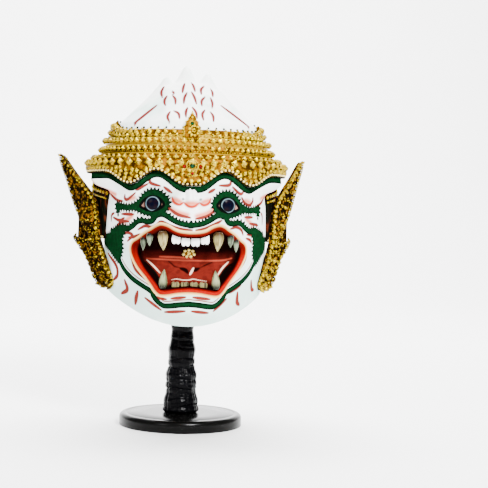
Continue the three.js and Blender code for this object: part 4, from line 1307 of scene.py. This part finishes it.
# %% [markdown]
# ## Ear ornaments
#
# Each ear ornament is a flame cut from thick buffalo hide, carved, gilded and hooked to the side of the
# head so that it swings a little. It is drawn flat here, as it is cut: `u` is the distance outwards from the
# hinge and the second number the height. Curls point out of its outer edge, leaves climb its inner edge, and
# florets fill the middle. At the end it is turned by its swing, and the left one is the right one mirrored.

# %% Outline of the hide
EAR = {"x": 92, "y": -36, "thickness": 5, "swing_left": 34, "swing_right": 46}
EAR_INNER = [
    (-9, 158), (-16, 164), (-11, 173), (-4, 184), (0, 194.5), (4.5, 206), (8.5, 217), (8.5, 228),
    (9.5, 239),
    (12.5, 252), (20, 263), (30, 273), (45, 289), (55.5, 301), (61, 306),
]  # fmt: skip
EAR_OUTER = [
    (61.5, 305), (62, 299), (58.5, 290), (53.5, 279), (49, 268), (44.5, 257), (39.5, 246), (34, 236),
    (27.5, 226),
    (20, 216), (14, 208.5), (22, 209.5), (31, 211.5), (41, 212.5), (33, 203), (24, 192.5), (18, 182),
    (12, 169),
    (4, 160), (-9, 158),
]  # fmt: skip
EAR_SPINE = [
    (-7, 165), (1, 174), (9, 188), (16, 203), (20, 218), (24, 236), (29, 252), (39, 269), (48, 283),
    (56, 297),
]  # fmt: skip


def flat_line(points, inset=0.0, depth=0.0):
    """A smooth line on the hide as (x, y, z), moved to its right by an inset."""
    line = curve_through(points, 4)
    way = np.gradient(line, axis=0)
    way /= np.linalg.norm(way, axis=1)[:, None]
    line = line + inset * np.column_stack([way[:, 1], -way[:, 0]])
    return np.column_stack([line[:, 0], np.full(len(line), -depth), line[:, 1]])


def hide_plate(outline, front, back, softened=0.9):
    """A closed plate between two depths, with a softened front edge."""
    normal = np.roll(outline, -1, axis=0) - np.roll(outline, 1, axis=0)
    normal /= np.linalg.norm(normal, axis=1)[:, None]
    inner = outline + softened * np.column_stack([normal[:, 1], -normal[:, 0]])
    work = bmesh.new()
    loops = []
    for line, y in [(inner, front), (outline, front + softened), (outline, back)]:
        loops.append([work.verts.new((u * MM, y * MM, z * MM)) for u, z in line])
    count = len(outline)
    for low, high in zip(loops, loops[1:]):
        for i in range(count):
            work.faces.new((low[i], low[(i + 1) % count], high[(i + 1) % count], high[i]))
    work.faces.new(loops[0])
    work.faces.new(loops[-1])
    bmesh.ops.triangulate(work, faces=[f for f in work.faces if len(f.verts) > 4])
    bmesh.ops.recalc_face_normals(work, faces=work.faces)
    mesh = bpy.data.meshes.new("hide")
    work.to_mesh(mesh)
    work.free()
    return mesh


# %% Both ornaments
hide_ground = Finish("dark_hide", Roughness=0.45, Specular_IOR_Level=0.0)
hide_ground.set("Base Color", hide_ground.patches(4, 4, 0.5, 0.66, colour(14, 8, 3), colour(120, 78, 10)))
hide_ground.height(hide_ground.noise(1.8, 4), 0.4)
SIDES = {-1: "left", 1: "right"}


def mirrored(piece, side):
    """The left piece of a pair is the right one mirrored."""
    if side < 0:
        piece.data.transform(Matrix.Diagonal((-1, 1, 1, 1)))
        piece.data.flip_normals()
    return piece


def set_at(mesh, x, y, z, turn=0.0):
    mesh.transform(Matrix.Translation((x * MM, y * MM, z * MM)) @ Matrix.Rotation(turn, 4, "Z"))
    return mesh


def ear_ornament(side, swing, finishes):
    """One ornament: cut flat for the right side, dressed with rows and turned by its swing."""
    outline = np.vstack([curve_through(EAR_INNER, 3)[:-1], curve_through(EAR_OUTER, 3)[:-1]])
    border = np.column_stack([outline[:, 0], np.full(len(outline), -0.2), outline[:, 1]])
    parts = [
        (hide_plate(outline, 0.4, EAR["thickness"]), 1),
        (row(border, bead_item, 150, 2.5, **RING), 0),
        (row(flat_line(EAR_OUTER, 2.4, 0.3), curl_item, 30, 3.6, 6.4, lean=-0.7, **STRIP), 0),
        (row(flat_line(EAR_INNER, 2.4, 0.6), leaf_item, 30, 6.0, 3.4, lean=1.3, **STRIP), 2),
        (row(flat_line(EAR_SPINE, 0.0, 1.2), floret_item, 15, 9.5, 3.8, **STRIP), 0),
        (row(flat_line(EAR_SPINE, -4.6, 0.6), curl_item, 17, 5.6, 3.0, lean=0.9, **STRIP), 0),
        (row(flat_line(EAR_SPINE, 5.2, 0.6), bead_item, 22, 3.2, 1.5, **STRIP), 0),
    ]
    ear = joined("gilt_ear_" + SIDES[side], parts, finishes)
    set_at(ear.data, EAR["x"], EAR["y"], 0, math.radians(swing))
    place(mirrored(ear, side), "ear_ornament_" + SIDES[side])


# Painted shade: the left ornament takes golds one step darker than the right one, as it turns away from the
# lamp.
ear_ornament(-1, EAR["swing_left"], [shaded_gold, hide_ground, old_gold])
ear_ornament(1, EAR["swing_right"], [old_gold, hide_ground, gold])

# %% [markdown]
# ## Dark side panels
#
# Between the cheek and the ear ornament a strip of dark varnished leather covers the side of the head. Its
# back edge stands out and carries a gold trim, and a small gold capital closes it under the temple. It is
# built as its outside and inside surface, joined round the edges.

# %% Leather of the side panels
leather = Finish("dark_varnished_leather", Roughness=0.28, Specular_IOR_Level=0.0)
upright = leather.streaks((1, 1, 0.08), 260)
leather.set("Base Color", leather.cover(colour(7, 8, 5), upright, 0.5, 0.66, colour(62, 24, 12)))
leather.height(upright, 0.4)

# %% Side panels
PANEL = {
    "low": 212, "front": 68, "low_front": 77, "back": 100, "front_out": 4, "back_out": 16, "clear": 1.2,
    "rows": 30, "columns": 22,
}  # fmt: skip


def skin_point(angle, z, out):
    """A point over the skin at the side of the head."""
    x, y = head_point(angle, z, out)
    flare = temple_flare(np.abs(np.sin(angle)), z)
    relief, _ = face_relief(x, z)
    return x + flare * np.sin(angle), y - flare * np.cos(angle) - relief * smooth(-0.1, 0.45, np.cos(angle))


def panel_grid():
    """Lines across the panel from its foot up, each as its outside and its inside."""
    out = np.linspace(PANEL["front_out"], PANEL["back_out"], PANEL["columns"])
    heights = np.linspace(FLARE["low"], FLARE["full"], 60)
    flare = FLARE["out"] * smooth(FLARE["low"], FLARE["full"], heights)
    top = np.interp(out - PANEL["clear"], flare, heights)
    lines = []
    for t in np.linspace(0, 1, PANEL["rows"]):
        z = mix(PANEL["low"], top, t)
        front = mix(PANEL["low_front"], PANEL["front"], t)
        angle = np.radians(np.linspace(front, PANEL["back"], PANEL["columns"]))
        outer = np.column_stack([*head_point(angle, z, out), z])
        lines.append((outer, np.column_stack([*skin_point(angle, z, 0.3), z])))
    return lines


def side_panel(side):
    """One panel, made for the right side, with its gold trim."""
    lines = panel_grid()
    outer = np.array([line for line, _ in lines])
    parts = [
        (capped("panel", [np.vstack([outside, inside[::-1]]) for outside, inside in lines]), 0),
        (row(outer[:, -1], bead_item, 34, 2.4, closed=False, finish=old_gold), 1),
        (row(outer[:, -5], leaf_item, 20, 3.4, closed=False, lean=0.9, finish=old_gold), 1),
        (row(outer[-3], floret_item, 9, 4.4, closed=False, finish=old_gold), 1),
        (row(outer[-6], bead_item, 15, 2.4, closed=False, finish=old_gold), 1),
        (row(outer[1], bead_item, 13, 2.6, closed=False, finish=cream), 2),
    ]
    panel = joined("leather_panel_" + SIDES[side], parts, [leather, gold, cream])
    place(mirrored(panel, side), "side_panel_" + SIDES[side])


side_panel(-1)
side_panel(1)

# %% [markdown]
# ## Eyes
#
# The eyes are inlaid discs with a smooth dome. A grey-blue ring frames the dark pupil. The ring is only
# colour, so each vertex keeps its distance from the middle of the eye and the material draws the ring.

# %% Glass of the eyes
glass = Finish("eye_inlay", Roughness=0.1, Specular_IOR_Level=0.02)
reach = glass.field("reach")
pupil = glass.patches(5, 2, 0.4, 0.7, colour(3, 4, 14), colour(16, 6, 10))
ring_colour = glass.mix(glass.noise(4, 3), colour(50, 72, 84), colour(92, 108, 112))
eye_colour = glass.cover(pupil, reach, 6.5, 6.9, ring_colour)
glass.set("Base Color", glass.cover(eye_colour, reach, 7.6, 8.0, colour(4, 8, 8)))
EYE_PROFILE = [
    (8.8, -2.6), (8.8, 0.5), (8.5, 1.0), (7.6, 1.9), (6.8, 2.3), (5.4, 2.8), (4, 3.1), (2.4, 3.3),
    (1, 3.35),
]  # fmt: skip


def turned_piece(name, profile, sides=48):
    """A closed turned solid that faces -Y, from its profile of (radius, height)."""
    return capped(name, [circle(0, 0, radius, -height, sides) for radius, height in profile])


def eye(side):
    mesh = turned_piece("lens", EYE_PROFILE)
    keep_values(mesh, "reach", [math.hypot(v.co.x, v.co.z) / MM for v in mesh.vertices])
    x, z = np.array([EYE["x"] * side]), np.array([EYE["z"]])
    relief, _ = face_relief(x, z)
    y = -station(z, 2) * np.sqrt(1 - (x / station(z, 1)) ** 2) - relief - EYE["forward"]
    set_at(mesh, x[0], y[0], z[0], side * EYE["turn"])
    place(link("eye_lens_" + SIDES[side], mesh, glass), "eye_" + SIDES[side])
    print("eye", SIDES[side], "at", x[0], round(float(y[0]), 1), z[0])


eye(-1)
eye(1)

# %% [markdown]
# ## Teeth and fangs
#
# The teeth are carved one by one and set in the gums. Fangs are cones with a waist that curl forwards at the
# tip; their paint is streaked lengthwise and darker at the root. The front teeth are small tablets with a
# cleft edge.

# %% Paint of the teeth
def tooth_paint(name, light, dark, root):
    """Paint that is streaked lengthwise and darkens towards the root."""
    paint = Finish(name, Roughness=0.3, Specular_IOR_Level=0.12)
    streak = paint.streaks((1, 1, 0.12), 420, 4.0)
    tone = paint.cover(colour(*light), streak, 0.42, 0.64, colour(*dark))
    near_root = paint.math("ADD", paint.field("rise"), paint.math("MULTIPLY", streak, 0.3))
    paint.set("Base Color", paint.cover(tone, near_root, 0.55, 0.16, colour(*root)))
    paint.height(streak, 0.25)
    return paint


fang_paint = tooth_paint("cream_fang", (150, 140, 92), (98, 86, 46), (52, 36, 18))
low_fang_paint = tooth_paint("grey_green_fang", (132, 136, 100), (72, 78, 52), (22, 24, 14))
# Painted shade: the side teeth, deep under the upper lip, are painted darker than the fangs.
shaded_tooth_paint = tooth_paint("shaded_side_tooth", (104, 114, 92), (42, 50, 38), (10, 12, 8))
olive_paint = tooth_paint("olive_front_tooth", (108, 100, 62), (38, 32, 18), (14, 10, 6))
enamel = tooth_paint("bright_front_tooth", (250, 252, 248), (240, 244, 236), (226, 226, 214))

# %% Fangs and side teeth
FANG_PROFILE = [
    # radius, share of the length
    (0.6, -0.08), (0.85, 0), (0.97, 0.12), (1, 0.25), (0.9, 0.42), (0.72, 0.6), (0.52, 0.74),
    (0.33, 0.86),
    (0.16, 0.95), (0.05, 1.0),
]  # fmt: skip
FANG_SIDES = 28
UPPER_FANG = {"x": 29.5, "root": 222, "tip": 203, "radius": 5.6, "y": -121}
LOWER_FANG = {"x": 28, "root": 164, "tip": 183, "radius": 4.6, "y": -118}
SIDE_TEETH = [
    {"x": 43, "root": 219.5, "tip": 207, "radius": 3.6, "y": -112},
    {"x": 49.5, "root": 215, "tip": 202, "radius": 3.2, "y": -105},
]


def fang(name, node, side, size, lean, paint):
    """One fang or side tooth: a fluted cone that leans inwards and forwards."""
    length = size["tip"] - size["root"]
    turn = full_turn(FANG_SIDES)
    loops = []
    for radius, t in FANG_PROFILE:
        reach = size["radius"] * radius * (1 + 0.035 * np.sin(7 * turn) * (1 - t))
        x = side * size["x"] + reach * np.cos(turn) + lean * t * t
        y = size["y"] + reach * np.sin(turn) - 2 * t * t
        loops.append(np.column_stack([x, y, np.full(FANG_SIDES, size["root"] + length * t)]))
    mesh = capped(name, loops)
    keep_values(mesh, "rise", [(v.co.z / MM - size["root"]) / length for v in mesh.vertices])
    place(link(name, mesh, paint), node)


for side, word in SIDES.items():
    fang("fang_up_" + word, "upper_fang_" + word, side, UPPER_FANG, -side, fang_paint)
    fang("fang_low_" + word, "lower_fang_" + word, side, LOWER_FANG, -side, low_fang_paint)
    for number, size in enumerate(SIDE_TEETH, 1):
        fang(f"tooth_{word}_{number}", f"side_tooth_{word}_{number}", side, size, 0, shaded_tooth_paint)
print("fangs and side teeth:", len(SIDES) * (2 + len(SIDE_TEETH)))

# %% Front teeth
UPPER_INCISOR = {"width": 9.6, "height": 10, "depth": 5, "y": -122, "pitch": 10.2, "root": 216.6, "arch": 2.2}
LOWER_INCISOR = {"width": 9, "height": 6, "depth": 5, "y": -119, "pitch": 9.9, "root": 164, "arch": 0}


def front_tooth(number, size, way, paint, row_name):
    """One front tooth: a small tablet with a two-lobed biting edge."""
    from_middle = number - 1.5
    half, height = size["width"] / 2, way * size["height"]
    across = np.linspace(-1, 1, 17)
    edge = 0.84 + 0.16 * np.abs(np.sin(np.pi * across)) ** 0.7
    edge *= 1 - 0.22 * np.abs(across) ** 6
    side = [(0.86 * half, 0), (0.97 * half, 0.4 * height)]
    top = [(0.98 * half * t, height * e) for t, e in zip(across, edge)]
    outline = [*[(-x, z) for x, z in side], *top, *side[::-1]]
    depth = size["depth"]
    layers = [(0.96, -depth), (1, 0.4 - depth), (1, -1.3), (0.94, -0.45), (0.8, -0.05), (0.4, 0.1)]
    mesh = boss(row_name, outline, layers)
    keep_values(mesh, "rise", [abs(v.co.z) / MM / size["height"] + 0.4 for v in mesh.vertices])
    set_at(mesh, from_middle * size["pitch"], size["y"], size["root"] + abs(from_middle) * size["arch"])
    piece = link(f"{row_name}_tooth_{number + 1}", mesh, paint)
    place(piece, f"{row_name}_incisor_{number + 1}")


for number in range(4):
    front_tooth(number, UPPER_INCISOR, -1, enamel, "upper")
    front_tooth(number, LOWER_INCISOR, 1, olive_paint, "lower")
print("front teeth:", 8)

# %% [markdown]
# ## Flower and gems
#
# A gilt flower of seven beads sits on the palate. The gems are cut glass in beaded settings, which belong to
# the coronet.

# %% Flower on the palate
FLOWER = {"z": 199.5, "width": 6.0, "height": 3.6, "y": -93.2}
turn = full_turn(36) + np.pi / 2
across, up = FLOWER["width"] * np.cos(turn), FLOWER["height"] * np.sin(turn)
petals = np.column_stack([across, np.full(36, FLOWER["y"]), FLOWER["z"] + up])
base = np.column_stack([1.1 * across, FLOWER["z"] + 1.1 * up])
flower_parts = [
    (boss("flower_base", base, [(1, 91.4), (1, 92.3), (0.7, 92.9)]), 1),
    (row(petals, bead_item, 7, 3.7, **RING), 0),
    (row(circle(0, FLOWER["z"], 1.2, FLOWER["y"] - 0.6), bead_item, 3, 2.4, **RING), 0),
]
POLISHED = {"Metallic": 0.5, "Roughness": 0.3}
bright_gold = two_tone("pale_bright_gold", 2, (255, 240, 160), (232, 196, 70), 2, **POLISHED)
flower = joined("gilt_flower", flower_parts, [bright_gold, gold_ground_and_shade])
place(flower, "palate_flower")


# %% Gems
def gem_glass(name, base, deep):
    stone = Finish(name, Roughness=0.12, Specular_IOR_Level=0.06)
    stone.set("Base Color", stone.patches(1.5, 1, 0.4, 0.6, base, deep))
    return stone


GEM_PROFILE = [(1, -0.7), (1, 0.05), (0.72, 0.5), (0.4, 0.68)]
GEM_SIDES = 9
green_glass = gem_glass("green_cut_glass", colour(4, 60, 28), colour(2, 24, 10))
red_glass = gem_glass("red_cut_glass", colour(118, 10, 0), colour(64, 4, 0))
for name, x, z, radius, _ in GEMS:
    is_green = name in ("spike_gem", "medallion_gem")
    mesh = turned_piece(name, [(r * radius, h * radius) for r, h in GEM_PROFILE], GEM_SIDES)
    set_at(mesh, x, front_depth(x, z) - 0.9, z)
    piece = link("cut_" + name, mesh, green_glass if is_green else red_glass)
    place(piece, name)
print("gems:", len(GEMS))

# %% [markdown]
# ## Post and foot
#
# The post is bound in thin black sheet. Where the sheet was pulled tight it creased across the post, and the
# creases catch the light. The foot is a plain turned disc in black lacquer.

# %% Crinkled post
POST = {"bottom": 20.5, "neck": 13, "neck_z": 112, "bare": 12.8, "bare_z": 160, "top_z": 375.7, "foot": 14.3}
CREASES = [
    # height, depth
    (22, 1.5), (31, 0.7), (41, 1.6), (47, 0.8), (54, 1.1), (61, 0.6), (68, 1.3), (76, 0.7), (88, 0.8),
    (97, 0.6),
]  # fmt: skip
POST_SIDES = 96
post_turn = full_turn(POST_SIDES)


def post_radius(z):
    """Radius of the bound post: it narrows upwards, with slow swells where the sheet is doubled."""
    t = np.clip((z - POST["foot"]) / (POST["neck_z"] - POST["foot"]), 0, 1)
    wrapped = mix(POST["bottom"], POST["neck"], t**0.8) + 0.7 * np.sin(19 * t) + 0.4 * np.sin(43 * t + 1)
    return np.interp(z, [POST["neck_z"], POST["bare_z"]], [wrapped, POST["bare"]])


def crinkle(z):
    """How the sheet stands off the post round one height."""
    fold = np.zeros(POST_SIDES)
    for number, (at, depth) in enumerate(CREASES):
        tilted = z - at - 1.6 * np.sin(post_turn + number) - 0.7 * np.sin(3 * post_turn + 2 * number)
        fold -= depth * bell(tilted, 1.1) * (0.55 + 0.45 * np.sin(2 * post_turn + 1.7 * number))
    wrap = 0.35 * np.sin(9 * post_turn + 0.05 * z) + 0.25 * np.sin(23 * post_turn + 0.11 * z)
    return fold + wrap * smooth(120, 60, z)


def level_ring(turn, radius, z):
    """A ring of points at one height."""
    return np.column_stack([radius * np.sin(turn), -radius * np.cos(turn), np.full(len(turn), z)])


post_rows = [np.array([[0, 0, POST["foot"]]])]
for z in [*np.arange(POST["foot"], 118, 0.7), *np.arange(118, 372, 12), 372]:
    radius = post_radius(z) + crinkle(z) - 2.5 * bell(z - POST["foot"], 1.6)
    post_rows.append(level_ring(post_turn, radius, z))
post_rows.append(np.array([[0, 0, POST["top_z"]]]))
post_mesh = facing_out(mesh_of_rows("post", post_rows))
GLOSSY = {"Roughness": 0.14, "Specular_IOR_Level": 0.04}
wrap_sheet = two_tone("black_crinkled_sheet", 12, (1, 1, 2), (3, 3, 4), **GLOSSY)
wrap_sheet.height(wrap_sheet.streaks((1, 1, 3.0), 90), 1.2)
place(link("wrapped_post", post_mesh, wrap_sheet), "stand_post")
print("post faces:", len(post_mesh.polygons))

# %% Turned foot
FOOT_PROFILE = [
    # radius, height
    (69.6, 0), (70, 0.5), (70, 9.5), (69.4, 11.4), (67.6, 13), (66, 13.6), (62, 13.7), (61.4, 13.3),
    (60.8, 13.7), (40, 13.95), (20, 14.0), (2, 14.0),
]  # fmt: skip
foot_mesh = capped("foot", [level_ring(full_turn(128), radius, z) for radius, z in FOOT_PROFILE])
LACQUERED = {"Roughness": 0.22, "Specular_IOR_Level": 0.08}
black_lacquer = two_tone("black_lacquer", 40, (2, 2, 2), (7, 7, 6), grain=(20, 3, 0.08), **LACQUERED)
place(link("turned_foot", foot_mesh, black_lacquer), "stand_foot")
print("foot faces:", len(foot_mesh.polygons))

# %% [markdown]
# ## Floor, light and camera
#
# The mask was photographed on white with soft light from the front. Here one round lamp above the camera
# lights the face, a weak one fills its shadows, and two more keep the pale floor and the sweep white.

# %% Floor and sweep
SWEEP = {"front": -4.0, "bend": 1.9, "radius": 1.0, "top": 4.0, "half_width": 5.0}
sweep_line = [(SWEEP["front"], 0.0), (SWEEP["bend"], 0.0)]
for step in range(1, 17):
    turned = math.pi / 2 * step / 16
    rise = SWEEP["radius"] * (1 - math.cos(turned))
    sweep_line.append((SWEEP["bend"] + SWEEP["radius"] * math.sin(turned), rise))
sweep_line.append((SWEEP["bend"] + SWEEP["radius"], SWEEP["top"]))
sweep_points = [(side * SWEEP["half_width"], y, z) for y, z in sweep_line for side in (-1, 1)]
sweep_faces = [(i, i + 1, i + 3, i + 2) for i in range(0, len(sweep_points) - 2, 2)]
sweep_mesh = bpy.data.meshes.new("studio_sweep")
sweep_mesh.from_pydata(sweep_points, [], sweep_faces)
sweep_mesh.polygons.foreach_set("use_smooth", [True] * len(sweep_faces))
PAPER_LIKE = {"Roughness": 0.9, "Specular_IOR_Level": 0.1}
pale = two_tone("pale_floor", 600, (250, 250, 250), (246, 246, 246), 2, **PAPER_LIKE)
sweep = link("studio_sweep", sweep_mesh, pale)


# %% Lights
def lamp(name, location, aim, size, power):
    """A round lamp that points at a place."""
    light = bpy.data.lights.new(name, "AREA")
    light.shape = "DISK"
    light.size = size
    light.energy = power
    holder = bpy.data.objects.new(name, light)
    holder.location = location
    holder.rotation_euler = (Vector(aim) - Vector(location)).to_track_quat("-Z", "Y").to_euler()
    bpy.context.scene.collection.objects.link(holder)


HEAD_MIDDLE = (0, 0, 0.22)
lamp("key_light", (0.6, -1.75, 1.2), HEAD_MIDDLE, 0.6, 150)
lamp("fill_light", (-1.2, -1.6, 0.8), HEAD_MIDDLE, 0.7, 16)
lamp("sweep_light", (0, 1.1, 2.6), (0, 2.7, 0.3), 2.5, 420)
lamp("top_light", (0, 0.5, 2.4), (0, 0.5, 0), 1.6, 60)
world = bpy.data.worlds.new("studio")
world.use_nodes = True
backdrop = world.node_tree.nodes["Background"].inputs
backdrop["Color"].default_value = (1, 1, 1, 1)
backdrop["Strength"].default_value = 0.42
bpy.context.scene.world = world

# %% Camera
CAMERA_AT = Vector((-78, -1498, 245)) * MM
CAMERA_AIM = Vector((68.4, 0, 208.8)) * MM
CAMERA_ROLL = math.radians(1.5)
camera_data = bpy.data.cameras.new("camera")
camera_data.sensor_width = 36
camera_data.lens = 96.4
camera = bpy.data.objects.new("camera", camera_data)
camera.location = CAMERA_AT
straight = (CAMERA_AIM - CAMERA_AT).to_track_quat("-Z", "Y")
camera.rotation_mode = "QUATERNION"
camera.rotation_quaternion = straight @ Quaternion((0, 0, 1), CAMERA_ROLL)
bpy.context.scene.collection.objects.link(camera)
bpy.context.scene.camera = camera
